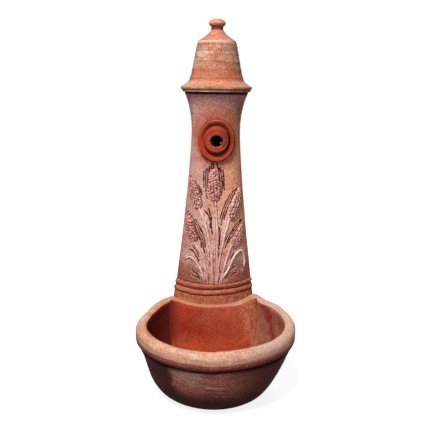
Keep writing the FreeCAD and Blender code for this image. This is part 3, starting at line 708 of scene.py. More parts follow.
cap = {
    "low": 0.8963, "rimRadius": 0.1103, "underRadius": 0.1045, "rimTop": 0.9123, "mouth": 0.069,
    "lowPole": (0.0742, 0.9269), "highPole": (0.0826, 0.9469), "shoulder": (0.0595, 1.0435),
    "neck": (0.0182, 1.081), "wall": 0.013, "turns": 120,
    "ribs": [(0.921, 0.0012, 0.0022), (0.9395, 0.0010, 0.0030), (0.962, 0.0008, 0.0045), (0.985, 0.0006, 0.004),
             (1.010, 0.0007, 0.0045), (1.030, 0.0010, 0.0035), (1.0405, 0.0011, 0.0022)],
    "ribSink": 0.0006, "wave": 0.0010, "waveSize": 0.06, "rimLine": 0.9035, "rimLineWidth": 0.0022,
    "lipZ": (0.886, 0.897), "lipOuter": (-0.018, -0.018), "lipInner": (-0.027, -0.0181),
    "knobRadius": 0.0258, "knobMiddle": 1.0985, "knobTop": 1.1125, "knobStep": 1.0855,
}
axisGap = 0.0003     # turned outlines stop this far from their axis


def halfTurn(outline, turns):
    # the outline's radius swung through half a circle in front of the wall
    angle = np.linspace(-np.pi / 2, np.pi / 2, turns)[:, None]
    radius, height = outline.T
    return spot(radius * np.sin(angle), -radius * np.cos(angle), height)


def capOutline():
    c = cap
    rimStep = [(c["underRadius"], c["low"]), (c["underRadius"] + 0.0012, c["low"] + 0.001),
               (c["underRadius"] + 0.0016, c["low"] + 0.0062), (c["rimRadius"] - 0.0012, c["low"] + 0.0078),
               (c["rimRadius"], c["low"] + 0.0098), (c["rimRadius"], c["rimTop"] - 0.0008),
               (c["rimRadius"] - 0.0012, c["rimTop"] + 0.0009)]
    bell = bezier([(c["rimRadius"] - 0.002, c["rimTop"] + 0.0012), c["lowPole"], c["highPole"], c["shoulder"]], 80)
    bell[:, 0] += sum(height * hill(bell[:, 1], place, width) for place, height, width in c["ribs"]) - c["ribSink"]
    lean = bezier([c["shoulder"], (0.0560, 1.0515), (0.0300, 1.0600), c["neck"]], 26)[1:]
    under = np.stack([np.linspace(c["mouth"], c["underRadius"] - 0.001, 8), np.full(8, c["low"])], -1)
    inner = bezier([(c["mouth"], c["low"] + 0.001), (c["lowPole"][0] - c["wall"], c["lowPole"][1]),
                    (c["highPole"][0] - c["wall"], c["highPole"][1]),
                    (c["shoulder"][0] - c["wall"], c["shoulder"][1] - c["wall"])], 24)
    roof = [(axisGap, c["shoulder"][1] - c["wall"] / 2), (axisGap, c["neck"][1])]
    return np.vstack([under, rimStep, bell, lean, roof[::-1], inner[::-1]])


def capLip():
    # a short rib inside the column's mouth: two rings of the column's plan, open at the back
    z = np.array(cap["lipZ"])
    loop = []
    for grow, backY in (cap["lipOuter"], cap["lipInner"]):
        radius, centreY = columnPlan(z)
        radius = radius + grow
        half = np.sqrt(radius ** 2 - (backY - centreY) ** 2)
        angle = np.linspace(-1, 1, 60)[:, None] * np.arcsin(half / radius)
        loop.append(spot(radius * np.sin(angle), centreY - radius * np.cos(angle), z))
    outer, inner = loop
    return np.concatenate([outer, inner[:, ::-1]], 1)


def buildCap():
    grid = halfTurn(capOutline(), cap["turns"])
    radius = np.hypot(grid[..., 0], grid[..., 1])
    push = cap["wave"] * (0.5 + 0.5 * wobble(grid, cap["waveSize"], 21))
    loose = ramp(radius, 0.02, 0.05) * ramp(-grid[..., 1], 0, 0.02)
    grid[..., :2] *= (1 - push * loose / np.maximum(radius, 0.02))[..., None]
    piece = makePiece("capBell", [grid, capLip()], True, 42)
    x, y, z = pointsOf(piece).T
    # the step round the rim, which gets painted shade
    addMask(piece, "rimEdge", hill(z, cap["rimLine"], cap["rimLineWidth"]) * (np.hypot(x, y) > 0.102))
    return piece


def buildKnob():
    # a short neck under a lens
    (neck, low), radius, middle, top = cap["neck"], cap["knobRadius"], cap["knobMiddle"], cap["knobTop"]
    under = bezier([(neck, low + 0.0075), (neck + 0.001, 1.0915), (radius - 0.001, 1.0918), (radius, middle)], 16)
    over = bezier([(radius, middle), (radius - 0.0006, middle + 0.0085), (radius * 0.62, top), (axisGap, top)], 18)
    outline = np.vstack([[(axisGap, low), (neck, low)], under, over[1:]])
    outline[:, 0] += 0.0005 * hill(outline[:, 1], cap["knobStep"], 0.0015)
    return makePiece("capKnob", [halfTurn(outline, 60)], True, 50)


capPiece = buildCap()
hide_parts("cap")
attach(capPiece, "cap")
knobPiece = buildKnob()
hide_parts("cap_knob")
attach(knobPiece, "cap")
print("cap and knob made")


# Rosette round the spout hole

def rosetteSection(name, span):
    # the section as a smooth line, and the turn round the oval
    step = rosette["sectionStep"]
    section = smoothLine(np.array(rosette[name]) * [span, 1], step) / [span, 1]
    return section[:, :1], section[:, 1:], np.linspace(0, 2 * np.pi, rosette["turns"], endpoint=False)[None]


def buildRing():
    # an oval ring on the face: its section rises slowly from the inside to a crest near its outer edge
    s = rosette
    share, lift, turn = rosetteSection("ringSection", 0.008)
    out = (share - 1) * s["ringTube"] / 2
    across = (s["ringHalf"][0] + out) * np.cos(turn)
    up = s["ringZ"] + (s["ringHalf"][1] + out) * np.sin(turn)
    place = spot(across, 0, up)
    wave = 0.0005 * wobble(place, 0.02, 31) + 0.0002 * wobble(place, 0.004, 33)
    return makePiece("rosetteRing", [onFace(across, up, lift + wave * (lift > 0))], False, 60)


def buildBoss():
    # rings between the round hole and the oval edge; the section steps up from the edge to a sloping
    # collar, then a flat hub round the hole
    s, hole = rosette, spoutHole["radius"]
    share, lift, turn = rosetteSection("bossSection", 0.022)
    share, lift = np.clip(share, 0, 1), lift + 0 * turn
    across = (hole + (s["bossHalf"][0] - hole) * share) * np.cos(turn)
    up = spoutHole["z"] + s["bossRise"] * share + (hole + (s["bossHalf"][1] - hole) * share) * np.sin(turn)
    place = spot(across, 0, up)
    hub = ramp(share, 0.52, 0.46)
    rough = (0.0003 + 0.0006 * hub) * wobble(place, 0.0045, 32) * (lift > 0.004)
    piece = makePiece("rosetteBoss", [onFace(across, up, lift + rough)], False, 55)
    addMask(piece, "hub", hub + 0 * turn)
    return piece


ringPiece = buildRing()
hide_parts("spout_ring")
bossPiece = buildBoss()
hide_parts("spout_boss")
for piece in (ringPiece, bossPiece):
    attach(piece, "root")
print("rosette made")


# Wheat: five ears of grains, their stems and two arching leaves

ears = {
    "relief": 0.0060, "sunk": -0.0022, "swell": 0.55, "blunt": 0.08, "along": 160, "across": 48, "flat": 0.70,
    "grainLift": 0.0028, "grainLength": 0.62, "grainSpread": 0.47, "skin": 0.0003, "skinSize": 0.004,
    "light": (-0.8, 0.6), "litGain": 0.85,
    "places": {
        "ear_centre": ((0, 563), (-5, 664), 20.5, 11, 4),
        "ear_upper_left": ((-49, 537), (-74, 632), 22.5, 11, 5),
        "ear_upper_right": ((49, 500), (82, 604), 21.0, 11, 4),
        "ear_lower_left": ((-63, 429), (-90, 513), 21.0, 10, 4),
        "ear_lower_right": ((56, 412), (92, 482), 19.0, 9, 4),
    },
}


def earShells(base, tip, halfWidth, rows, columns):
    # a swelling patch of the face with columns of grains, each a small lifted oval
    e = ears
    ends = alongFace([base, tip])
    halfWidth = halfWidth / 1000
    run = ends[1] - ends[0]
    length = np.linalg.norm(run)
    ahead = run / length
    side = np.array([ahead[1], -ahead[0]])
    way = np.linspace(0, 1, e["along"])[:, None]
    over = np.linspace(-1, 1, e["across"])[None]
    swell = np.sin(np.pi * (e["blunt"] + (1 - 1.5 * e["blunt"]) * way ** 0.82)) ** e["swell"]
    bulge = np.sqrt(np.clip(1 - over ** 2, 0, 1)) * swell
    pitch = 1 / rows
    grains, shade = np.zeros_like(bulge), np.zeros_like(bulge)
    chance = np.random.default_rng(int(length * 1e5))
    for number in range(columns):
        for row in range(rows + 1):
            centre = (row + 0.5 * (number % 2) + chance.uniform(-0.2, 0.2)) * pitch
            place = (2 * number + 1) / columns - 1 + chance.uniform(-0.3, 0.3) / columns
            grow = chance.uniform(0.75, 1.15)
            if centre > 0.97 or centre < 0.02:
                continue
            lean = -place * 0.6 + chance.uniform(-0.35, 0.35)
            along = (way - centre) * length + 0 * over
            sideways = (over - place) * halfWidth * swell
            turnedAlong = along * np.cos(lean) + sideways * np.sin(lean)
            turnedSide = -along * np.sin(lean) + sideways * np.cos(lean)
            size = ((turnedAlong / (grow * e["grainLength"] * pitch * length)) ** 2
                    + (turnedSide / (grow * 2 * e["grainSpread"] / columns * halfWidth)) ** 2)
            grains = np.maximum(grains, np.sqrt(np.clip(1 - size, 0, 1)) * (0.55 + 0.45 * grow))
            shade = np.maximum(shade, np.clip(1.15 - size, 0, 1))
    lift = e["relief"] * bulge * e["flat"]
    lift = lift + e["grainLift"] * grains * np.clip(swell * 1.2, 0, 1) * np.clip(bulge * 2.2, 0, 1)
    lift = lift + e["skin"] * wobble(spot(way * length, over * halfWidth, 0), e["skinSize"], 41)
    edge = ramp(np.abs(over), 1, 0.94) * ramp(way, 0, 0.02) * ramp(way, 1, 0.98)
    lift = np.where(edge < 1, lift * edge + 0.4 * e["sunk"] * (1 - edge), lift)
    spots = ends[0] + way[..., None] * run + (over * halfWidth * swell)[..., None] * side
    top = onFace(spots[..., 0], spots[..., 1], lift)
    low = onFace(spots[..., 0], spots[..., 1], np.full_like(lift, e["sunk"]))
    loop = np.concatenate([top, low[:, ::-1]], 1)
    # the gaps between grains, which get painted shade
    hollow = np.concatenate([1 - shade, np.ones_like(shade)], 1)
    # how far each place leans to the upper left, where the light comes from
    towards = np.array(e["light"])
    slopeAlong = np.gradient(lift, axis=0) / (length / e["along"])
    slopeSide = np.gradient(lift, axis=1) / (2 * halfWidth * np.maximum(swell, 0.2) / e["across"])
    lit = 0.5 - e["litGain"] * (towards @ ahead * slopeAlong + towards @ side * slopeSide)
    return loop, hollow, np.concatenate([lit, 0.5 + 0 * lit], 1)


earPieces = []
for node, (base, tip, halfWidth, rows, columns) in ears["places"].items():
    loop, hollow, lit = earShells(base, tip, halfWidth, rows, columns)
    piece = makePiece("ear" + node[3:].title().replace("_", ""), [loop], True, 60)
    # painted shade in the gaps between the grains
    addMask(piece, "paintedShade", hollow)
    addMask(piece, "lit", lit)
    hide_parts(node)
    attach(piece, "root")
    earPieces.append(piece)


def ridgeShells(settings):
    # a half-round ridge carried along each route on the face, tapered at its ends
    shells = []
    for line in reliefLines(settings["routes"], settings["spacing"]):
        lean = np.gradient(line, axis=0)
        lean /= np.linalg.norm(lean, axis=1, keepdims=True)
        way = np.linspace(0, 1, len(line))
        ends = np.clip(np.minimum(way, 1 - way) / settings["taper"], 0, 1)
        size = (settings["endShare"] + (1 - settings["endShare"]) * ends ** 0.7)[:, None]
        angle = np.linspace(0, np.pi, 11)[None]
        flat = np.linspace(-1, 1, 5)[None]
        out = settings["halfWidth"] * size * np.concatenate([np.cos(angle), flat], 1)
        lift = np.concatenate([settings["relief"] * size * np.sin(angle) - 0.0004,
                               np.full_like(size * flat, settings["sunk"])], 1)
        skin = wobble(spot(*line.T, 0), 0.02, 51)
        lift = lift + (settings["skin"] * skin + 0.8 * swelling(line[:, 1]))[:, None]
        across = line[:, :1] + out * lean[:, 1:]
        up = line[:, 1:] - out * lean[:, :1]
        shells.append(onFace(across, up, lift))
    return shells


stemPiece = makePiece("wheatStems", ridgeShells(stems), True, 60)
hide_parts("wheat_stems")
leafPiece = makePiece("wheatLeaves", ridgeShells(leaves), True, 60)
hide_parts("wheat_leaves")
for piece in (stemPiece, leafPiece):
    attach(piece, "root")
print("wheat made")


# Materials

class Value:
    # a shader value to reckon with as with a number: each sign adds a math node
    def __init__(self, sheet, socket):
        self.sheet, self.socket = sheet, socket

    def __add__(self, other):
        return self.sheet.math("ADD", self, other)

    def __sub__(self, other):
        return self.sheet.math("SUBTRACT", self, other)

    def __rsub__(self, other):
        return self.sheet.math("SUBTRACT", other, self)

    def __mul__(self, other):
        return self.sheet.math("MULTIPLY", self, other)

    def __truediv__(self, other):
        return self.sheet.math("DIVIDE", self, other)

    def __pow__(self, power):
        return self.sheet.math("POWER", self, power)

    def __abs__(self):
        return self.sheet.math("ABSOLUTE", self)

    def band(self, low, high, most=1.0, least=0.0):
        # rises smoothly from least at low to most at high, or falls where high is the smaller
        node = self.sheet.add("ShaderNodeMapRange", interpolation_type="SMOOTHSTEP")
        for socket, value in zip(node.inputs, (self, low, high, least, most)):
            self.sheet.put(socket, value)
        return Value(self.sheet, node.outputs[0])


class Sheet:
    # a short hand for adding nodes to a tree and joining them
    def __init__(self, tree):
        self.tree = tree

    def add(self, kind, **settings):
        node = self.tree.nodes.new(kind)
        for key, value in settings.items():
            setattr(node, key, value)
        return node

    def put(self, socket, value):
        if isinstance(value, Value):
            value = value.socket
        if isinstance(value, bpy.types.NodeSocket):
            self.tree.links.new(value, socket)
        elif isinstance(value, tuple) and socket.type == "RGBA":
            socket.default_value = (*value, 1.0)
        else:
            socket.default_value = value

    def math(self, operation, a, b=0.0, clamp=False):
        node = self.add("ShaderNodeMath", operation=operation, use_clamp=clamp)
        self.put(node.inputs[0], a)
        self.put(node.inputs[1], b)
        return Value(self, node.outputs[0])

    def blend(self, amount, a, b, way="MIX"):
        node = self.add("ShaderNodeMix", data_type="RGBA", blend_type=way, clamp_factor=True)
        for place, value in ((0, amount), (6, a), (7, b)):
            self.put(node.inputs[place], value)
        return node.outputs[2]

    def paint(self, color, *coats):
        # each coat is a mask and the tone that it lays over the ones before
        for amount, tone in coats:
            color = self.blend(amount, color, tone)
        return color

    def noise(self, where, scale, detail=4.0, roughness=0.55, distortion=0.0):
        node = self.add("ShaderNodeTexNoise")
        self.put(node.inputs["Vector"], where)
        settings = {"Scale": scale, "Detail": detail, "Roughness": roughness, "Distortion": distortion}
        for socket, value in settings.items():
            node.inputs[socket].default_value = value
        return Value(self, node.outputs["Fac"])

    def stretch(self, where, scale, turn=(0, 0, 0)):
        node = self.add("ShaderNodeMapping")
        self.put(node.inputs["Vector"], where)
        node.inputs["Scale"].default_value = scale
        node.inputs["Rotation"].default_value = turn
        return node.outputs[0]

    def away(self, where, centre):
        # distance from a place
        node = self.add("ShaderNodeVectorMath", operation="DISTANCE")
        self.put(node.inputs[0], where)
        node.inputs[1].default_value = centre
        return Value(self, node.outputs["Value"])

    def lay(self, x, y, z):
        node = self.add("ShaderNodeCombineXYZ")
        for socket, value in zip(node.inputs, (x, y, z)):
            self.put(socket, value)
        return node.outputs[0]

    def where(self):
        return self.add("ShaderNodeTexCoord").outputs["Object"]

    def measures(self, where):
        split = self.add("ShaderNodeSeparateXYZ")
        self.put(split.inputs[0], where)
        return [Value(self, socket) for socket in split.outputs]

    def mask(self, name):
        return Value(self, self.add("ShaderNodeAttribute", attribute_name=name).outputs["Fac"])


def newGroup(name, inputs, outputs):
    tree = bpy.data.node_groups.new(name, "ShaderNodeTree")
    for way, sockets in (("INPUT", inputs), ("OUTPUT", outputs)):
        for label, value in sockets.items():
            kind = "NodeSocketColor" if isinstance(value, tuple) else "NodeSocketFloat"
            socket = tree.interface.new_socket(name=label, in_out=way, socket_type=kind)
            if way == "INPUT":
                socket.default_value = (*value, 1.0) if isinstance(value, tuple) else value
    sheet = Sheet(tree)
    return sheet, sheet.add("NodeGroupInput").outputs, sheet.add("NodeGroupOutput").inputs


def clayGroup():
    # fired clay: three body colours in drifts, fine grit, a pale bloom of lime in patches, and small pits
    sheet, given, made = newGroup(
        "firedClay",
        {"Base": (0.5, 0.2, 0.1), "Light": (0.7, 0.4, 0.3), "Dark": (0.3, 0.1, 0.06), "Bloom": (0.7, 0.6, 0.6),
         "Bloom Amount": 0.3, "Drift": 1.0, "Grit": 1.0, "Bands": 0.3},
        {"Color": (0, 0, 0), "Roughness": 0.0, "Height": 0.0, "Sand": 0.0})
    base, light, dark, bloom = [given[name] for name in ("Base", "Light", "Dark", "Bloom")]
    amounts = ("Bloom Amount", "Drift", "Grit", "Bands")
    bloomAmount, drift, gritty, banded = [Value(sheet, given[name]) for name in amounts]
    where = sheet.where()
    patch = sheet.noise(where, 28.0, 6.0, 0.65)
    bands = sheet.noise(sheet.stretch(where, (3.0, 3.0, 90.0)), 1.0, 4.0, 0.6)
    grit = sheet.noise(where, 420.0, 3.0, 0.7)
    grain = sheet.noise(where, 210.0, 4.0, 0.8)
    color = sheet.paint(
        base,
        (sheet.noise(where, 9.0, 5.0, 0.6, 0.4).band(0.42, 0.66) * drift, light),
        (patch.band(0.50, 0.75) * drift, dark),
        (bands.band(0.50, 0.72) * banded, dark),
        (sheet.noise(where, 16.0, 7.0, 0.72, 0.6).band(0.45, 0.68) * bloomAmount, bloom),
        (grain.band(0.53, 0.66) * gritty * 0.60, light),
        (grain.band(0.47, 0.34) * gritty * 0.60, dark))
    sheet.put(made["Color"], color)
    sheet.put(made["Sand"], sheet.noise(where, 310.0, 1.0, 0.5).band(0.36, 0.64))
    sheet.put(made["Roughness"], patch.band(0.3, 0.7, 0.90, 0.72))
    sheet.put(made["Height"], grit * 0.35 + grain * 0.8 + patch.band(0.35, 0.65) * 0.6 + bands * banded * 2.0)
    return sheet.tree


firedClay = clayGroup()


def newMaterial(name):
    material = bpy.data.materials.new(name)
    material.use_nodes = True
    material.node_tree.nodes.clear()
    return material, Sheet(material.node_tree)


def newShader(name):
    material, sheet = newMaterial(name)
    shader = sheet.add("ShaderNodeBsdfPrincipled")
    sheet.put(sheet.add("ShaderNodeOutputMaterial").inputs[0], shader.outputs[0])
    return material, sheet, shader


def addBump(sheet, shader, height, strength, distance):
    bump = sheet.add("ShaderNodeBump")
    bump.inputs["Strength"].default_value = strength
    bump.inputs["Distance"].default_value = distance
    sheet.put(bump.inputs["Height"], height)
    sheet.put(shader.inputs["Normal"], bump.outputs[0])


def clayMaterial(name, settings):
    material, sheet, shader = newShader(name)
    clay = sheet.add("ShaderNodeGroup", node_tree=firedClay)
    for label, value in settings["clay"].items():
        sheet.put(clay.inputs[label], value)
    color, height = clay.outputs["Color"], Value(sheet, clay.outputs["Height"])
    if "finish" in settings:
        color, height = settings["finish"](sheet, color, height)
    strength = 0.22 * settings["clay"]["Grit"]
    sand = Value(sheet, clay.outputs["Sand"]).band(0.0, 1.0, 1 + strength, 1 - strength)
    sheet.put(shader.inputs["Base Color"], sheet.blend(1.0, color, sand, "MULTIPLY"))
    sheet.put(shader.inputs["Roughness"], clay.outputs["Roughness"])
    shader.inputs["Specular IOR Level"].default_value = 0.03
    addBump(sheet, shader, height, settings["bump"], 0.0012)
    return material


def columnFinish(sheet, color, height):
    # paler and rosier up the middle, red and soiled low down, limy at the top; painted shade darkens what was cut,
    # the grooves beside the beads, the spout hole, the band under the cap's rim and the groove inside the rosette
    # ring, and painted highlights lie on the edges beside the cuts
    where = sheet.where()
    across, _, up = sheet.measures(where)
    front = 1.0 - sheet.mask("inside")
    patchy = sheet.noise(where, 55.0, 4.0, 0.7).band(0.35, 0.62)
    tall = up.band(0.36, 0.46) * up.band(0.86, 0.70) * front
    broken = sheet.noise(where, 85.0, 3.0, 0.6).band(0.36, 0.50, 1.0, 0.40)
    broken = sheet.math("MAXIMUM", broken, up.band(0.80, 0.84))
    return sheet.paint(
        color,
        (across.band(-0.015, 0.045, 0.68) * tall, (0.92, 0.41, 0.250)),
        (across.band(0.0, -0.055, 0.35) * tall, (0.66, 0.45, 0.41)),
        (up.band(0.42, 0.31) * patchy.band(0.0, 1.0, 0.62, 0.90) * front, (0.275, 0.076, 0.052)),
        (sheet.mask("raised") * patchy * 0.85, (0.90, 0.57, 0.47)),
        # painted highlight on the raised edges beside the cuts
        (sheet.mask("pale") * 0.60, (0.74, 0.42, 0.35)),
        (up.band(0.298, 0.292) * front * 0.62, sheet.blend(patchy, (0.40, 0.110, 0.058), (0.60, 0.185, 0.082))),
        (sheet.mask("halo") * patchy.band(0.0, 1.0, 0.55, 0.85), (0.36, 0.078, 0.045)),
        (up.band(0.825, 0.880) * patchy.band(0.0, 1.0, 0.65, 0.30) * front, (0.36, 0.220, 0.225)),
        # painted shadow in the groove inside the rosette ring
        (sheet.mask("ringGrooveShadow"), (0.12, 0.020, 0.014)),
        # painted shade in the cuts, the bead grooves, the spout hole and under the cap's rim, near black towards the
        # top
        (sheet.mask("paintedShade").band(0.10, 0.75) * broken,
         sheet.blend(up.band(0.860, 0.880), (0.070, 0.006, 0.009), (0.014, 0.006, 0.011)))), height


def earFinish(sheet, color, height):
    # grains painted pale as highlight on the side that faces the light and painted plum dark as shade on the other,
    # with painted shade in the gaps between them
    where = sheet.where()
    uneven = sheet.noise(where, 150.0, 4.0, 0.7).band(0.36, 0.58, 1.0, 0.25)
    lit = sheet.mask("lit")
    fleck = sheet.noise(where, 240.0, 2.0, 0.8)
    return sheet.paint(
        color,
        (lit.band(0.64, 0.98, 0.55) * uneven, (0.88, 0.54, 0.45)),
        (lit.band(0.54, 0.18, 0.95) * uneven, (0.062, 0.010, 0.018)),
        (fleck.band(0.55, 0.64, 0.75), (0.96, 0.68, 0.57)),
        (fleck.band(0.48, 0.38, 0.80), (0.13, 0.022, 0.030)),
        # painted shade in the gaps between the grains
        (sheet.mask("paintedShade").band(0.30, 0.85, 0.62) * uneven, (0.120, 0.018, 0.020))), height


def capFinish(sheet, color, height):
    # the masks go by height: shoulder; painted shadow round the neck under the knob; a painted highlight on the
    # knob's top; a painted highlight on the lip and painted shade in the groove below it; painted shade down the
    # bell's right side; the bell down to its rim; painted shade in the groove under the shoulder rib and in the rim's
    # step
    across, _, up = sheet.measures(sheet.where())
    return sheet.paint(
        color,
        (up.band(1.042, 1.050, 0.45), (0.50, 0.175, 0.135)),
        # painted shadow under the knob's lens
        (up.band(1.077, 1.081) * up.band(1.093, 1.0885, 0.88), (0.095, 0.026, 0.030)),
        # painted highlight on the knob's top
        (up.band(1.093, 1.098, 0.60), (0.62, 0.235, 0.125)),
        # painted highlight on the lip at the shoulder
        (up.band(1.0388, 1.0415) * up.band(1.0475, 1.0448, 0.60), (0.78, 0.50, 0.37)),
        # painted shade in the groove below the lip
        (up.band(1.0140, 1.0165) * up.band(1.0225, 1.0195, 0.38), (0.22, 0.060, 0.040)),
        # painted shade down the bell's right side, away from the light
        (across.band(0.005, 0.060, 0.45) * up.band(0.920, 0.935), (0.24, 0.075, 0.045)),
        (up.band(0.985, 0.955) * up.band(0.922, 0.932, 0.68), (0.38, 0.105, 0.048)),
        (up.band(0.906, 0.914) * up.band(0.934, 0.922, 0.5), (0.60, 0.26, 0.140)),
        # painted shade in the groove between the shoulder ribs
        (up.band(1.0300, 1.0335) * up.band(1.0372, 1.0345, 0.45), (0.25, 0.070, 0.042)),
        # painted shade in the step round the rim
        (sheet.mask("rimEdge") * 0.7, (0.16, 0.045, 0.028))), height


def rosetteFinish(sheet, color, height):
    # dark red, with painted shade on the hub's right side, a painted black shadow crescent under the boss and a
    # painted shade line outside the ring on the lower right, and a painted highlight on the ring's crest at the top
    where = sheet.where()
    across, _, up = sheet.measures(where)
    hub = sheet.mask("hub")
    slant = (across - (up - rosette["ringZ"])).band(-0.020, 0.030)

    def oval(halfWidth, halfHeight, middle):
        return sheet.math("SQRT", (across / halfWidth) ** 2.0 + ((up - middle) / halfHeight) ** 2.0)

    boss = oval(*rosette["bossHalf"], spoutHole["z"] + rosette["bossRise"])
    ring = oval(*rosette["ringHalf"], rosette["ringZ"])
    return sheet.paint(
        color,
        (hub * 0.35, (0.28, 0.050, 0.034)),
        # painted shade on the hub's right side
        (hub * across.band(0.008, 0.022, 0.55), (0.14, 0.012, 0.009)),
        (hub * sheet.noise(where, 330.0, 3.0, 0.7).band(0.50, 0.66) * 0.45, (0.46, 0.17, 0.12)),
        # painted shadow crescent at the boss's lower right
        (boss.band(0.86, 0.97) * slant * boss.band(1.12, 1.06), (0.012, 0.003, 0.004)),
        # painted shade along the ring's outer edge at the lower right
        (ring.band(0.930, 0.975) * slant, (0.030, 0.005, 0.005)),
        # painted highlight on the ring's upper crest
        (ring.band(0.82, 0.90) * ring.band(0.985, 0.94) * up.band(0.745, 0.800, 0.55), (0.62, 0.190, 0.110))), height


def bowlSoilAndShade(sheet, where, right, forward, up, soil, speckle):
    # the bowl below its rim: dark damp clay, its darkness partly painted shade, with a dusty front that is also
    # painted as lit from the front, painted shade to the sides, a painted black shadow under the rim and painted
    # shade near the ground
    # dust on the front, also painted front light: lighter in the middle with painted shade falling off to both sides
    slant = right + up * 0.20 + soil * 0.040
    dustAndFrontLight = slant.band(-0.093, -0.070) * slant.band(0.200, 0.0, 1.0, 0.06) * up.band(0.042, 0.128, 1.0, 0.06)
    dustAndFrontLight = dustAndFrontLight * forward.band(-0.20, -0.30)
    gray = sheet.away(sheet.stretch(where, (1.0, 0.0, 1.4)), (-0.082, 0.0, 0.205))
    gray = gray + sheet.noise(where, 34.0, 5.0, 0.7) * 0.07
    # pale scrapes, curved up at both ends, and darker smears along the bowl
    level = up - abs(right - 0.02) ** 2.0 * 1.4
    smear = sheet.noise(sheet.lay(right * 14.0, forward * 3.0, level * 170.0), 1.0, 5.0, 0.65)
    scrape = smear.band(0.54, 0.66) * level.band(0.125, 0.105) * level.band(0.055, 0.075) * dustAndFrontLight
    # the painted shadow below the rim's undercut is narrower at the front than at the sides
    sides = abs(right + 0.02).band(0.05, 0.16, 0.1400, 0.1560)
    darkLine = sheet.math("DIVIDE", up - sides, 0.1645 - sides, True)
    return sheet.paint(
        # the dark base is partly damp clay and partly painted shade
        sheet.blend(soil.band(0.35, 0.65), (0.026, 0.005, 0.007), (0.052, 0.012, 0.012)),
        (dustAndFrontLight, sheet.blend(soil.band(0.36, 0.64), (0.30, 0.085, 0.066), (0.46, 0.160, 0.115))),
        (gray.band(0.100, 0.060, 0.85) * dustAndFrontLight, (0.45, 0.235, 0.195)),
        (smear.band(0.52, 0.40) * 0.45, (0.12, 0.030, 0.028)),
        (scrape * abs(right - 0.01).band(0.075, 0.03), (0.66, 0.40, 0.31)),
        (speckle.band(0.50, 0.36, 0.60), (0.030, 0.008, 0.009)),
        (speckle.band(0.54, 0.66) * dustAndFrontLight.band(0.0, 1.0, 0.35, 0.07), (0.58, 0.28, 0.21)),
        # painted shade near the ground, darkest at the bottom
        (up.band(0.086, 0.0, 0.93), (0.014, 0.004, 0.007)),
        # painted shadow below the rim's undercut
        (darkLine ** 1.6 * 0.95, (0.012, 0.005, 0.006)))


def troughTones(sheet, where, right, forward, up, soil, speckle):
    # inside the bowl: wet red clay on the back wall, the left rim's painted shadow on the left, grey and scratched on
    # the right
    wall = sheet.mask("backWall")
    body = sheet.blend(right.band(-0.04, 0.11), (0.36, 0.034, 0.016), (0.54, 0.098, 0.044))
    body = sheet.blend(up.band(0.145, 0.085), body, (0.60, 0.105, 0.040))
    # marks of the trowel: uneven arcs about a point above the back wall
    swing = sheet.away(sheet.stretch(where, (1.0, 0.0, 1.3)), (0.015, 0.0, 0.335)) * 900.0
    swing = sheet.math("SINE", swing + sheet.noise(where, 9.0, 3.0, 0.55) * 17.0)
    stroke = swing.band(-0.10, 1.0) * sheet.noise(where, 21.0, 5.0, 0.7).band(0.42, 0.58)
    stroke = stroke * right.band(-0.085, -0.035) * right.band(0.150, 0.110) * up.band(0.135, 0.185) * wall
    # slanted strokes towards the right end, where dry clay flakes yellow
    lines = sheet.noise(sheet.lay((right - up * 0.80) * 190.0, 0.0, up * 26.0), 1.0, 4.0, 0.65)
    edge = right.band(0.045, 0.120) * wall
    flaking = abs(right + up * 0.24 - 0.160) + soil * 0.020
    flaking = flaking.band(0.048, 0.014) * speckle.band(0.42, 0.56, 0.90) * wall
    flaking = flaking * sheet.noise(where, 38.0, 4.0, 0.7).band(0.38, 0.52, 1.0, 0.15)
    scratch = sheet.noise(sheet.stretch(where, (36.0, 36.0, 26.0), (0.5, 0.35, 0.0)), 1.0, 5.0, 0.7)
    # a crooked crack down the right side
    darkLine = abs(forward + (0.215 - up) * 0.72 + sheet.noise(where, 40.0, 3.0, 0.6) * 0.022 + 0.046)
    dull = sheet.paint(
        sheet.blend(soil.band(0.38, 0.62), (0.20, 0.038, 0.026), (0.34, 0.105, 0.064)),
        (scratch.band(0.53, 0.66, 0.5), (0.52, 0.29, 0.18)),
        (scratch.band(0.47, 0.38, 0.6), (0.26, 0.034, 0.022)),
        (darkLine.band(0.0055, 0.0020, 0.9), (0.25, 0.018, 0.010)),
        (darkLine.band(0.010, 0.026, 0.35), (0.40, 0.21, 0.13)),
        (right.band(0.10, -0.02), body),
        # painted shadow of the left rim on the side wall
        (right.band(-0.124, -0.144, 0.92), (0.098, 0.0150, 0.0110)))
    return sheet.paint(
        body,
        (soil.band(0.42, 0.68, 0.45), (0.58, 0.105, 0.055)),
        (stroke * 0.55, (0.76, 0.28, 0.130)),
        (edge * lines.band(0.50, 0.64), (0.74, 0.26, 0.11)),
        (edge * lines.band(0.48, 0.38, 0.6), (0.44, 0.060, 0.022)),
        (flaking, (0.92, 0.48, 0.24)),
        (wall * up.band(0.2165, 0.2235, 0.65), (0.27, 0.050, 0.022)),
        # painted shadow of the left rim on the left part of the inside
        (right.band(-0.104, -0.150, 0.86), (0.135, 0.014, 0.009)),
        (wall.band(1.0, 0.0), dull),
        (up.band(0.08, 0.05), sheet.blend(soil.band(0.4, 0.6), (0.40, 0.052, 0.024), (0.56, 0.115, 0.050))),
        (speckle.band(0.53, 0.65) * right.band(-0.15, -0.10, 0.30, 0.06), (0.70, 0.26, 0.15)),
        (speckle.band(0.47, 0.37, 0.30), (0.20, 0.016, 0.010))), stroke


